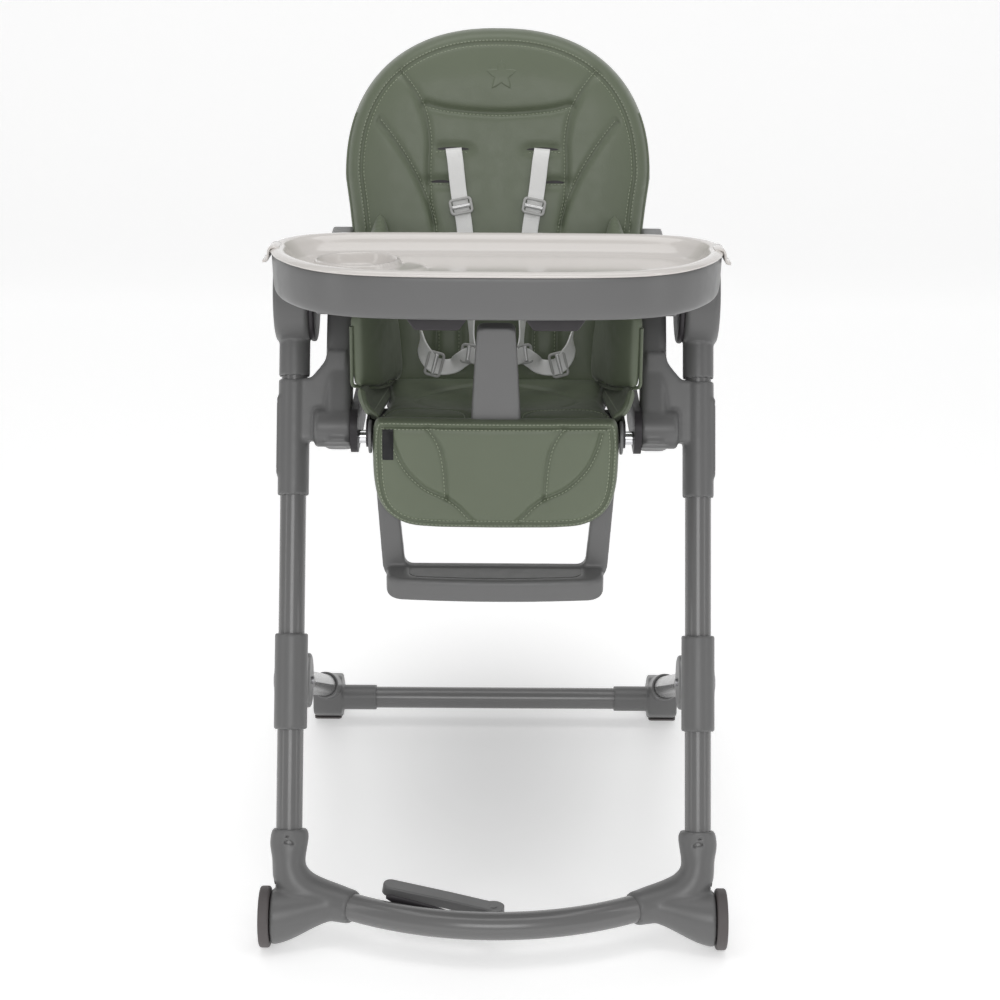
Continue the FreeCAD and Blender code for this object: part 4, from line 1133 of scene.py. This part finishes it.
# ---------------------------------------------------------------- harness
@dataclass
class Harness:
    """Webbing straps, ladder adjusters with bright bars, and the buckle behind the post."""

    width: float = 0.0205
    thickness: float = 0.0016

    def ribbon(self, name: str, path: Sequence[Sequence[float]], facing: Sequence[Sequence[float]],
               body: str,
               width: Optional[float] = None, ripple: float = 0.0) -> bpy.types.Object:
        """Strap along a smooth path; its face follows the given directions.

        Args:
            name: Piece name.
            path: Points that it passes through.
            facing: Direction out of its face at each of those points.
            body: Body that it rides on.
            width: Strap width, or None for the usual one.
            ripple: Height of soft folds along it.

        Returns:
            The strap.
        """
        count = 90
        line = smooth_line(path, count)
        turned = unit(smooth_line(facing, count))
        wave = np.sin(np.linspace(0.0, 1.0, count) * 9.0)[:, None] * ripple
        wide = width or self.width
        across = np.linspace(-1.0, 1.0, 15)
        ends = np.stack([across * wide / 2, np.full(15, self.thickness / 2)], -1)
        profile = np.concatenate([ends, ends[::-1] * np.array([1.0, -1.0])])
        piece = tube_along(name, line + turned * wave, profile, turned, WEBBING)
        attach(piece, body)
        return piece

    def ladder(self, name: str, centre: Array, up: Array, out: Array, body: str, tall: float = 0.022,
               wide: float = 0.0285) -> list[bpy.types.Object]:
        """Adjuster: a rounded frame and a bright bar across it.

        Args:
            name: Piece name.
            centre: Its middle.
            up: Direction along the strap.
            out: Direction out of its face.
            body: Body that it rides on.
            tall: Size along the strap.
            wide: Size across the strap.

        Returns:
            The frame and the bar.
        """
        up, out = unit(np.array(up, float)), unit(np.array(out, float))
        out = unit(out - up * float(out @ up))
        across = np.cross(up, out)
        loop = rounded_profile(wide - 0.0045, tall - 0.0045, 0.0035, 6)
        path = centre + loop[:, :1] * across + loop[:, 1:] * up
        frame_profile = rounded_profile(0.0036, 0.0036, 0.0011, 3)
        facing = np.tile(out, (len(path), 1))
        ring = tube_along(name, path, frame_profile, facing, BUCKLE, closed=True)
        pieces = [ring]
        reach = wide / 2 - 0.0035
        for number, (height, radius, finish) in enumerate(((-0.0006, 0.0027, BRIGHT),)):
            run = np.linspace(-reach, reach, 14)[:, None]
            line = centre + across * run + up * height + out * 0.0006
            sides = np.linspace(0, 2 * math.pi, 14, endpoint=False)
            circle = np.stack([radius * np.cos(sides), radius * np.sin(sides)], -1)
            facing = np.tile(out, (14, 1))
            pieces.append(tube_along(f"{name}_bar_{number}", line, circle, facing, finish))
        for piece in pieces:
            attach(piece, body)
        return pieces

    def build(self) -> None:
        """Make both sides of the harness and the buckle."""
        back_out = BACK_PLANE.w_axis
        for side, word in ((-1, "right"), (1, "left")):
            points = [(side * 57, 325.5, -7), (side * 56.5, 321, -1.0), (side * 54.5, 308, 1.6),
                      (side * 52, 285, 2.4),
                      (side * 49, 262, 2.8), (side * 44, 236, 3.4), (side * 41, 212, 4.0),
                      (side * 38, 180, 8.0),
                      (side * 34, 140, 22.0)]
            flat = np.array(points) * MM
            path = BACK_PLANE.place(flat[:, 0], flat[:, 1], flat[:, 2])
            low = np.array([[side * 0.0320, -0.012, 0.700], [side * 0.0310, -0.030, 0.684],
                            [side * 0.0270, -0.052, 0.672]])
            facing = [back_out] * (len(path) - 1) + [(side * 0.6, -0.8, 0.1)] + [(side * 0.95, -0.30,
                                                                                  0.1)] * 3
            strap = self.ribbon(f"shoulder_strap_{word}", np.concatenate([path, low]), facing, "backrest")
            if side < 0:
                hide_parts("shoulder_straps")
            middle = BACK_PLANE.place(side * 0.0468, 0.2510, 0.0066)
            lead = np.array(BACK_PLANE.v_axis) + np.array([side * 0.20, 0.0, 0.0])
            pieces = self.ladder(f"shoulder_adjuster_{word}", middle, lead, back_out, "backrest",
                                 0.0225, 0.0310)
            if side < 0:
                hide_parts("shoulder_adjusters")
            self.waist(side, word)
        self.buckle()
        log.info("harness: straps, adjusters and buckle")

    def waist(self, side: int, word: str) -> None:
        """Waist webbing from the back, through two adjusters, to the buckle."""
        outer = np.array([side * 0.0785, -0.055, 0.6650])
        inner = np.array([side * 0.0360, -0.060, 0.6800])
        up_outer = np.array([side * -0.25, 0.10, 1.0])
        up_inner = np.array([side * -0.12, 0.10, 1.0])
        out = np.array([side * 0.10, -1.0, 0.18])
        pieces = self.ladder(f"waist_adjuster_{word}", outer, np.cross(out, up_outer), out, "carriage",
                             0.0235, 0.0335)
        pieces += self.ladder(f"hip_adjuster_{word}", inner, np.cross(out, up_inner), out, "carriage",
                              0.0205, 0.0265)
        path = [(side * 0.093, 0.000, 0.668), (side * 0.096, -0.020, 0.690),
                (side * 0.0925, -0.045, 0.681),
                (side * 0.082, -0.0545, 0.6665), (side * 0.070, -0.0555, 0.6615),
                (side * 0.055, -0.0585, 0.6640),
                (side * 0.044, -0.0620, 0.6725), (side * 0.034, -0.0605, 0.6780),
                (side * 0.022, -0.0640, 0.6760),
                (side * 0.012, -0.0660, 0.6680)]
        facing = [(side * 1.0, -0.1, 0.1), (side * 1.0, -0.35, 0.1), (side * 0.7, -0.7, 0.2),
                  (0, -1.0, 0.2),
                  (0, -0.9, 0.45), (0, -0.8, 0.6), (0, -1.0, 0.1), (0, -1.0, 0.2), (0, -1.0, 0.3),
                  (0, -0.9, 0.4)]
        strap = self.ribbon(f"waist_strap_{word}", path, facing, "carriage", ripple=0.0012)
        if side < 0:
            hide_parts("waist_straps")
            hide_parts("waist_adjusters")

    def buckle(self) -> None:
        """Buckle body with rounded edges, a push button, and the strap that holds it down."""
        low, high = (np.array(corner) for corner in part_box("harness_buckle"))
        centre = (low + high) / 2
        body = self.pillow("buckle_body", centre, (high - low) * np.array([0.5, 0.5, 0.5]), 4.0, BUCKLE)
        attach(body, "carriage")
        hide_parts("harness_buckle")
        button_centre = centre + np.array([0.0, 0.0, (high - low)[2] * 0.42])
        button = self.pillow("buckle_button", button_centre, np.array([0.011, 0.011, 0.0035]), 3.0, GREY)
        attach(button, "carriage")
        start, end = (np.array(corner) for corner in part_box("crotch_strap"))
        middle = (start + end) / 2
        path = [(0.0, start[1], end[2] + 0.001), (0.0, middle[1], middle[2] + 0.003),
                (0.0, end[1], start[2] + 0.002)]
        strap = self.ribbon("crotch_webbing", path, [(0.0, 0.1, 1.0)] * 3, "carriage")
        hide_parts("crotch_strap")

    @staticmethod
    def pillow(name: str, centre: Array, half: Array, power: float, finish: Finish) -> bpy.types.Object:
        """Superquadric: |x/a|^p + |y/b|^p + |z/c|^p = 1, a block with soft edges.

        Args:
            name: Piece name.
            centre: Its middle.
            half: Half sizes.
            power: 2 gives an ellipsoid and more gives a block.
            finish: What it is finished in.

        Returns:
            The piece.
        """
        rows, columns = 28, 48
        rise = np.linspace(-math.pi / 2, math.pi / 2, rows)[1:-1, None]
        turn = np.linspace(0.0, 2 * math.pi, columns, endpoint=False)[None, :]
        direction = np.stack(np.broadcast_arrays(np.cos(rise) * np.cos(turn), np.cos(rise) * np.sin(turn),
                                                 np.sin(rise) * np.ones_like(turn)), -1)
        reach = np.sum(np.abs(direction) ** power, -1, keepdims=True) ** (-1.0 / power)
        points = (direction * reach * half + centre).reshape(-1, 3)
        count = (rows - 2) * columns
        poles = np.stack([centre - [0, 0, half[2]], centre + [0, 0, half[2]]])
        ring = np.arange(columns)
        after = (ring + 1) % columns
        last = (rows - 3) * columns
        bottom = np.stack([after, ring, np.full(columns, count), np.full(columns, count)], -1)
        top = np.stack([last + ring, last + after, np.full(columns, count + 1),
                        np.full(columns, count + 1)], -1)
        faces = np.concatenate([grid_faces(rows - 2, columns, wrap=True), bottom, top])
        return make_piece(name, np.concatenate([points, poles]), faces, finish)


# ---------------------------------------------------------------- tray
@dataclass
class Tray:
    """Tray with a deep rounded skirt, and a glossy liner with a raised cup ring and two clips."""

    outline_points: tuple[tuple[float, float], ...] = (
        (0, -147), (60, -146.5), (119, -142), (163, -132), (200, -110), (228, -76), (248, -36), (259, 0),
        (263.5, 32),
        (263, 62), (252, 94), (226, 122), (180, 138), (120, 142), (60, 143), (0, 143))
    lean: float = 2.4

    def plane(self) -> WorkPlane:
        """The tray's top plane, found from the CAD tray's box."""
        low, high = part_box("tray")
        fall = math.tan(math.radians(self.lean))
        middle = (low[1] + high[1]) / 2
        top = high[2] - fall * (high[1] - low[1]) / 2
        return lying(middle, top, self.lean)

    def outline(self, count: int = 420) -> Array:
        """Closed outline, the same on both sides, evenly divided."""
        left = tuple((-u, v) for u, v in self.outline_points[1:-1])[::-1]
        loop = smooth_line([*self.outline_points, *left], 1200, closed=True) * MM
        loop = np.concatenate([loop, loop[:1]])
        run = np.concatenate([[0.0], np.cumsum(np.linalg.norm(np.diff(loop, axis=0), axis=1))])
        even = np.linspace(0.0, run[-1], count, endpoint=False)
        return np.stack([np.interp(even, run, loop[:, 0]), np.interp(even, run, loop[:, 1])], -1)

    def wall(self, outline: Array, profile: Array) -> Array:
        """Rings round the outline: each profile point gives how far in and how high its ring lies.

        Args:
            outline: Closed outline in the plane.
            profile: Insets and heights, n by 2, in metres.

        Returns:
            Points, rings by outline by three.
        """
        plane = self.plane()
        rings = [plane.place(flat[:, 0], flat[:, 1], np.full(len(flat), height))
                 for flat, height in ((shrunk(outline, inset), height) for inset, height in profile)]
        return np.stack(rings)

    @staticmethod
    def closed(name: str, rings: Array, finish: Finish) -> bpy.types.Object:
        """Close rings at both ends over their middles and make a piece.

        Args:
            name: Piece name.
            rings: Rings by outline by three.
            finish: What it is finished in.

        Returns:
            The piece.
        """
        rows, count = rings.shape[:2]
        points = np.concatenate([rings.reshape(-1, 3), rings[0].mean(0)[None], rings[-1].mean(0)[None]])
        ring = np.arange(count)
        after = (ring + 1) % count
        hub = rows * count
        last = (rows - 1) * count
        start = np.stack([after, ring, np.full(count, hub), np.full(count, hub)], -1)
        end = np.stack([last + ring, last + after, np.full(count, hub + 1), np.full(count, hub + 1)], -1)
        return make_piece(name, points, np.concatenate([grid_faces(rows, count, wrap=True), start, end]),
                          finish)

    @staticmethod
    def inwards(ring: Array, share: Array) -> Array:
        """Rings that draw a closed ring in towards its middle line, share 1 to 0."""
        centre = ring.mean(0)
        return centre + share[:, None, None] * (ring - centre)[None]

    def build(self) -> None:
        """Make the tray, its liner and the liner's clips."""
        outline = self.outline()
        skirt = smooth_line([(14, -26.4), (12.6, -24), (10.5, -14), (9, -4.5), (4, -2.2), (1.4, -1.6),
                             (0.2, -3.2),
                             (-0.2, -8), (0.2, -20), (1.2, -36), (2.8, -45.0), (6.0, -49.4), (9.5, -49.0),
                             (11.4, -45), (12.0, -34), (12.6, -30.5)], 60) * MM
        body = self.wall(outline, skirt)
        under = self.inwards(body[-1], np.linspace(1.0, 0.0, 14)[1:-1])
        deck = self.inwards(body[0], np.linspace(1.0, 0.0, 14)[1:-1])[::-1]
        tray = self.closed("tray_body", np.concatenate([deck, body, under]), GREY)
        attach(tray, "tray")
        self.runners()
        self.liner(outline)
        self.clips()
        log.info("tray: body, liner and clips")

    def runners(self) -> None:
        """Each runner is a channel round the arm rail; the CAD tray is hidden."""
        low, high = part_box("arm_rail_left")
        plane = self.plane()
        for side, word in ((-1, "right"), (1, "left")):
            centre = (low[0] + high[0]) / 2 * side
            run = np.linspace(-0.030, 0.090, 24)
            wide = (high[0] - low[0]) / 2
            inner = wide + 0.0004
            outer = wide + 0.0044
            profile = np.array([(-outer, -0.0275), (outer, -0.0275), (outer, -0.0555), (inner, -0.0555),
                                (inner, -0.0470), (-inner, -0.0470), (-inner, -0.0555), (-outer, -0.0555)])
            path = plane.place(np.full(24, centre), run, np.zeros(24))
            facing = np.tile(np.array(plane.w_axis), (24, 1))
            piece = tube_along(f"tray_runner_{word}", path, profile, facing, GREY)
            for polygon in piece.data.polygons:
                polygon.use_smooth = False
            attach(piece, "tray")
            if side < 0:
                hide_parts("tray")

    def liner(self, outline: Array) -> None:
        """Glossy liner: a rolled rim, sloping sides, flat floor and a raised ring round the recess."""
        rim = smooth_line([(1.2, -1.2), (-0.8, -1.4), (-2.4, 0.2), (-1.6, 2.6), (1.6, 4.4), (6.0, 4.9),
                           (11.0, 3.6),
                           (15.5, 0.0), (20.0, -6.5), (26.0, -12.6), (33.0, -16.0), (42.0, -17.4)],
                           70) * MM
        wall = self.wall(outline, rim)
        floor = self.inwards(wall[-1], np.linspace(1.0, 0.0, 130)[1:-1] ** 0.9)
        upper = np.concatenate([wall, floor])
        plane = self.plane()
        local = upper - np.array(plane.origin)
        u, v = local[..., 0], local @ np.array(plane.v_axis)
        upper = upper + np.array(plane.w_axis) * self.relief(u, v,
                                                             local @ np.array(plane.w_axis))[..., None]
        below = smooth_line([(42.0, -19.6), (33.0, -18.4), (26.0, -15.0), (19.0, -8.5), (12.0, -3.0),
                             (5.0, -1.0)],
                            24) * MM
        under = self.wall(outline, below)
        base = self.inwards(under[0], np.linspace(1.0, 0.0, 24)[1:-1])[::-1]
        base_local = base - np.array(plane.origin)
        sag = np.minimum(0.0, self.relief(base_local[..., 0], base_local @ np.array(plane.v_axis),
                                          np.full(base.shape[:2], -0.0196)))
        base = base + np.array(plane.w_axis) * sag[..., None]
        rings = np.concatenate([base, under, upper])
        liner = self.closed("tray_liner", rings, CREAM)
        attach(liner, "tray_insert")
        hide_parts("tray_insert")

    @staticmethod
    def relief(u: Array, v: Array, w: Array) -> Array:
        """Height added to the floor: a ring of Gaussian section about the cup, a shallow recess inside it,
        and a crescent ledge beside it.

        Args:
            u: Across the tray.
            v: Along the tray.
            w: Height so far, so that the rim isn't changed.

        Returns:
            Height to add.
        """
        on_floor = np.clip((-0.003 - w) / 0.010, 0.0, 1.0)
        cup = np.hypot(u + 0.163, v - 0.016)
        ring = 0.0105 * np.exp(-((cup - 0.0475) / 0.0036) ** 2)
        recess = -0.0045 / (1.0 + np.exp((cup - 0.0440) / 0.0012))
        ledge = np.hypot(u + 0.122, v - 0.006)
        crescent = 0.0035 / (1.0 + np.exp((ledge - 0.040) / 0.0018)) * (cup > 0.0500)
        return (ring + recess + crescent) * on_floor

    def clips(self) -> None:
        """Two clips that arch over the tray's ends and hook under its rim."""
        plane = self.plane()
        for side, word in ((-1, "right"), (1, "left")):
            run = np.array([(254, 4.2), (259, 5.6), (263.6, 4.8), (265.8, 1.0), (266.4, -4.5),
                            (267.4, -8.5),
                            (269.6, -10.4), (273.0, -10.8)]) * MM
            line = smooth_line(run, 60)
            path = plane.place(line[:, 0] * side, np.full(60, 0.030), line[:, 1])
            ahead = np.gradient(path, axis=0)
            facing = np.cross(ahead, np.array(plane.v_axis)) * side
            profile = rounded_profile(0.040, 0.0030, 0.0013, 4)
            piece = tube_along(f"liner_clip_{word}", path, profile, facing, CREAM)
            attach(piece, "tray_insert")
            if side < 0:
                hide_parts("insert_clips")


# ---------------------------------------------------------------- mouldings
@dataclass(frozen=True)
class Moulding:
    """A moulded CAD node whose joins are melted into each other, as a moulding's are."""

    node: str
    body: str
    voxel: float = 0.0022
    rounds: int = 14
    grow: float = 0.0003
    bend: Optional[Callable[[Array], Array]] = None

    def build(self) -> bpy.types.Object:
        """Copy the node's mesh, remesh it in small voxels and relax it, so that inner corners fill in."""
        source = frame["nodes"][self.node]
        mesh = source.data.copy()
        shell = bmesh.new()
        shell.from_mesh(mesh)
        bmesh.ops.remove_doubles(shell, verts=shell.verts, dist=0.00002)
        shell.to_mesh(mesh)
        shell.free()
        piece = bpy.data.objects.new(f"{self.node}_moulding", mesh)
        bpy.context.scene.collection.objects.link(piece)
        remesh = piece.modifiers.new("remesh", "REMESH")
        remesh.mode = "VOXEL"
        remesh.voxel_size = self.voxel
        remesh.use_smooth_shade = True
        relax = piece.modifiers.new("relax", "SMOOTH")
        relax.factor = 0.5
        relax.iterations = self.rounds
        swollen = piece.modifiers.new("swollen", "DISPLACE")
        swollen.mid_level = 0.0
        swollen.strength = self.grow
        apply_modifiers(piece)
        if self.bend is not None:
            put_vertices(piece, self.bend(vertices_of(piece)))
        piece.data.materials.clear()
        piece.data.materials.append(GREY.material())
        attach(piece, self.body)
        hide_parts(self.node)
        log.info("moulding %s: %d points", self.node, len(piece.data.vertices))
        return piece


def shorter_post(points: Array) -> Array:
    """Bring the post's top down by 8 mm: the drop grows with the fourth power of the height share."""
    low, high = points[:, 2].min(), points[:, 2].max()
    share = (points[:, 2] - low) / (high - low)
    return points - np.stack([np.zeros_like(share), np.zeros_like(share), 0.008 * share ** 4], -1)


def fuller_lip(points: Array) -> Array:
    """Bring the foot board's front lip down by 6 mm: a smooth step towards the front."""
    front, low = points[:, 1].min(), points[:, 2].min()
    ahead = np.clip((front + 0.045 - points[:, 1]) / 0.040, 0.0, 1.0)
    near = np.clip((low + 0.030 - points[:, 2]) / 0.026, 0.0, 1.0)
    drop = 0.006 * ahead ** 2 * (3 - 2 * ahead) * near
    return points - np.stack([np.zeros_like(drop), np.zeros_like(drop), drop], -1)


def build_mouldings() -> None:
    """Corner pieces, hangers, leg heads, collars and rear feet, on both sides; the post and the leg rest."""
    for side in ("left", "right"):
        Moulding(f"front_corner_{side}", "front_frame", 0.0022, 10, 0.0006).build()
        Moulding(f"hanger_{side}", "carriage", 0.0022, 4).build()
        Moulding(f"leg_collar_{side}", "front_frame", 0.0020, 3).build()
        Moulding(f"rear_foot_{side}", "rear_frame", 0.0020, 5).build()
        Moulding(f"leg_head_{side}", "front_frame", 0.0020, 3).build()
    Moulding("leg_rest", "leg_rest", 0.0018, 6, 0.0004, fuller_lip).build()
    Moulding("crotch_post", "carriage", 0.0018, 8, 0.0005, shorter_post).build()


def build_stand_grip() -> None:
    """Dark rubber inlay along the front of the stand's free end: a wedge that thins towards the pivot."""
    low, high = (np.array(corner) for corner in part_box("kick_stand"))
    count = 40
    share = np.linspace(0.0, 1.0, count)
    start = np.array([low[0] + 0.006, high[1] - 0.0335, high[2] - 0.0085])
    end = np.array([low[0] + 0.086, high[1] - 0.0440, high[2] - 0.0235])
    path = start + share[:, None] * (end - start)
    tall = 0.0100 * np.sqrt(np.maximum(0.0, 1.0 - share ** 1.5)) * np.minimum(1.0, 0.35 + share * 9.0)
    angle = np.linspace(0.0, 2 * math.pi, 20, endpoint=False)
    ring = np.stack([np.zeros(20), 0.0022 * np.cos(angle), 0.5 * np.sin(angle)], -1)
    rings = path[:, None] + ring[None] * np.stack([np.ones(count), np.ones(count), tall + 0.0004],
                                                  -1)[:, None]
    piece = Tray.closed("stand_grip", rings, DARK)
    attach(piece, "kick_stand")


@dataclass
class SeatSide:
    """Padded gusset that rises from the seat's edge to the side wing."""

    side: int
    thickness: float = 0.010

    def build(self) -> None:
        """A four-sided patch, corners blended by their shares, padded by a quarter-ellipse edge."""
        rows, columns = 30, 90
        share = np.linspace(0.0, 1.0, columns)[None, :, None]
        rise = np.linspace(0.0, 1.0, rows)[:, None, None]
        front_low, back_low = np.array([0.1400, -0.2235, 0.6405]), np.array([0.1330, -0.0080, 0.6150])
        front_high, back_high = np.array([0.1640, -0.1880, 0.6690]), np.array([0.1560, -0.0120, 0.6440])
        low = front_low + (back_low - front_low) * share
        high = front_high + (back_high - front_high) * share
        middle = low + (high - low) * rise
        middle = middle + np.array([0.004, 0.0, -0.006]) * np.sin(math.pi * rise) * (1 - 0.6 * share)
        along = unit(np.gradient(middle, axis=1))
        upward = unit(np.gradient(middle, axis=0))
        normal = unit(np.cross(along, upward))
        normal = normal * np.sign(-normal[..., :1])
        edge = np.minimum(np.minimum(share, 1 - share) * 0.21, np.minimum(rise, 1 - rise) * 0.036)[..., 0]
        near = np.clip(edge / 0.006, 0.0, 1.0)
        full = np.sqrt(1.0 - (1.0 - near) ** 2)[..., None] * self.thickness / 2
        points = np.concatenate([(middle + normal * full).reshape(-1, 3),
                                 (middle - normal * full).reshape(-1, 3)])
        points[:, 0] *= self.side
        count = rows * columns
        loop = np.concatenate([np.arange(columns), np.arange(1, rows) * columns + columns - 1,
                               (rows - 1) * columns + np.arange(columns - 2, -1, -1),
                               np.arange(rows - 2, 0, -1) * columns])
        after = np.roll(loop, -1)
        faces = np.concatenate([grid_faces(rows, columns), grid_faces(rows, columns, first=count)[:, ::-1],
                                np.stack([after, loop, loop + count, after + count], -1)])
        word = "left" if self.side > 0 else "right"
        piece = make_piece(f"seat_side_{word}", points, faces, SAGE)
        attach(piece, "carriage")
        flip = np.array([self.side, 1.0, 1.0])
        line = smooth_line((middle[rows // 2 - 8, 3:-3] * flip)[::6], 200)
        out = smooth_line((normal[rows // 2 - 8, 3:-3] * flip)[::6], 200)
        places, normals = seen_from(piece, line, out)
        thread = sew(f"seat_side_stitches_{word}", [stitches("seat side", places, normals)], THREAD)
        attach(thread, "carriage")


# ---------------------------------------------------------------- scene
def dress_frame() -> None:
    """Give every CAD node the finish of its slot."""
    for part in frame["record"]["subparts"]:
        node = frame["nodes"][part["node"]]
        material = BY_SLOT[part["material_slot"]].material()
        node.data.materials.clear()
        node.data.materials.append(material)


@dataclass
class Studio:
    """Pale floor and wall with a painted shadow under the chair, soft lights and the camera."""

    lens: float = 79.2
    stand: tuple[float, float, float] = (0.0055, -2.752, 1.361)
    pitch: float = 18.0
    roll: float = 0.35

    def build(self) -> None:
        """Make the floor, the world, the lights and the camera."""
        self.floor()
        self.world()
        self.light("overhead_softbox", (0.0, -0.2, 2.9), (0.0, 0.0, 0.5), (2.2, 1.8), 19.0)
        self.light("left_strip", (-1.75, -1.15, 1.25), (0.0, 0.0, 0.6), (0.30, 2.2), 3.5)
        self.light("right_strip", (1.75, -1.15, 1.25), (0.0, 0.0, 0.6), (0.30, 2.2), 3.5)
        self.light("front_fill", (0.0, -3.4, 1.7), (0.0, 0.0, 0.6), (1.6, 1.4), 24.0)
        self.camera()

    @staticmethod
    def floor() -> None:
        """Floor that curves up into a far wall: height follows a smooth step of the distance behind; a soft painted
        shadow darkens its colour and its faint glow under the chair.
        """
        across = np.linspace(-7.0, 7.0, 30)
        back = np.linspace(-5.0, 5.5, 90)
        x, y = np.meshgrid(across, back)
        climb = np.clip((y - 3.2) / 2.3, 0.0, 1.0)
        z = 4.5 * climb ** 2.2 - 0.0001
        points = np.stack([x, y, z], -1).reshape(-1, 3)
        mesh = bpy.data.meshes.new("studio_floor")
        mesh.from_pydata(points.tolist(), [], grid_faces(90, 30).tolist())
        mesh.polygons.foreach_set("use_smooth", [True] * len(mesh.polygons))
        floor = bpy.data.objects.new("studio_floor", mesh)
        bpy.context.scene.collection.objects.link(floor)
        material = bpy.data.materials.new("pale_floor_painted_shadow")
        material.use_nodes = True
        shader = material.node_tree.nodes["Principled BSDF"]
        shader.inputs["Roughness"].default_value = 0.65
        shader.inputs["Specular IOR Level"].default_value = 0.2
        shader.inputs["Emission Strength"].default_value = 0.42
        tree = material.node_tree
        place = tree.nodes.new("ShaderNodeTexCoord")
        # Painted shadow: a soft ellipse under the chair, found by the distance from a point just in front of the
        # chair's middle.
        painted_shadow_spot = tree.nodes.new("ShaderNodeMapping")
        painted_shadow_spot.inputs["Location"].default_value = (0.0, -0.30, 0.0)
        painted_shadow_spot.inputs["Scale"].default_value = (2.6, 1.35, 0.0)
        tree.links.new(place.outputs["Object"], painted_shadow_spot.inputs["Vector"])
        away = tree.nodes.new("ShaderNodeVectorMath")
        away.operation = "LENGTH"
        tree.links.new(painted_shadow_spot.outputs["Vector"], away.inputs[0])
        fade = tree.nodes.new("ShaderNodeMapRange")
        fade.interpolation_type = "SMOOTHSTEP"
        fade.inputs["From Max"].default_value = 1.0
        tree.links.new(away.outputs["Value"], fade.inputs["Value"])
        # The painted shadow's dark middle (0.60) fades into the pale floor (0.94), in both the base colour and the
        # glow.
        painted_shadow_tone = tree.nodes.new("ShaderNodeMix")
        painted_shadow_tone.data_type = "RGBA"
        painted_shadow_tone.inputs[6].default_value = (0.60, 0.60, 0.60, 1.0)
        painted_shadow_tone.inputs[7].default_value = (0.94, 0.94, 0.94, 1.0)
        tree.links.new(fade.outputs["Result"], painted_shadow_tone.inputs[0])
        tree.links.new(painted_shadow_tone.outputs[2], shader.inputs["Base Color"])
        tree.links.new(painted_shadow_tone.outputs[2], shader.inputs["Emission Color"])
        mesh.materials.append(material)

    @staticmethod
    def world() -> None:
        """Even pale surroundings."""
        world = bpy.data.worlds.new("studio")
        world.use_nodes = True
        world.node_tree.nodes["Background"].inputs["Color"].default_value = (1.0, 1.0, 1.0, 1.0)
        world.node_tree.nodes["Background"].inputs["Strength"].default_value = 0.42
        bpy.context.scene.world = world

    @staticmethod
    def light(name: str, place: Sequence[float], aim: Sequence[float], sides: Sequence[float],
              power: float) -> None:
        """Add a rectangular soft light that faces a point.

        Args:
            name: Light name.
            place: Where it stands.
            aim: What it faces.
            sides: Its width and height.
            power: Watts.
        """
        lamp = bpy.data.lights.new(name, "AREA")
        lamp.shape = "RECTANGLE"
        lamp.size, lamp.size_y = sides
        lamp.energy = power
        thing = bpy.data.objects.new(name, lamp)
        thing.location = place
        thing.rotation_euler = (Vector(aim) - Vector(place)).to_track_quat("-Z", "Y").to_euler()
        bpy.context.scene.collection.objects.link(thing)

    def camera(self) -> None:
        """A long lens from the front, a little above the tray."""
        lens = bpy.data.cameras.new("camera")
        lens.lens = self.lens
        lens.sensor_width = 36.0
        thing = bpy.data.objects.new("camera", lens)
        thing.location = self.stand
        turned = Matrix.Rotation(math.radians(90.0 - self.pitch), 3, "X")
        thing.rotation_euler = (turned @ Matrix.Rotation(math.radians(self.roll), 3, "Z")).to_euler()
        bpy.context.scene.collection.objects.link(thing)
        bpy.context.scene.camera = thing
        bpy.context.scene.view_settings.view_transform = "Standard"


def main() -> None:
    """Build every piece in order."""
    logging.basicConfig(level=logging.INFO, format="%(message)s")
    dress_frame()
    Studio().build()
    Tray().build()
    Backrest().build()
    for side in (-1, 1):
        SideWing(side).build()
        SeatSide(side).build()
    SeatCushion().build()
    build_mouldings()
    build_stand_grip()
    CalfFlap().build()
    Harness().build()
    log.info("all pieces made")


if __name__ == "__main__":
    main()
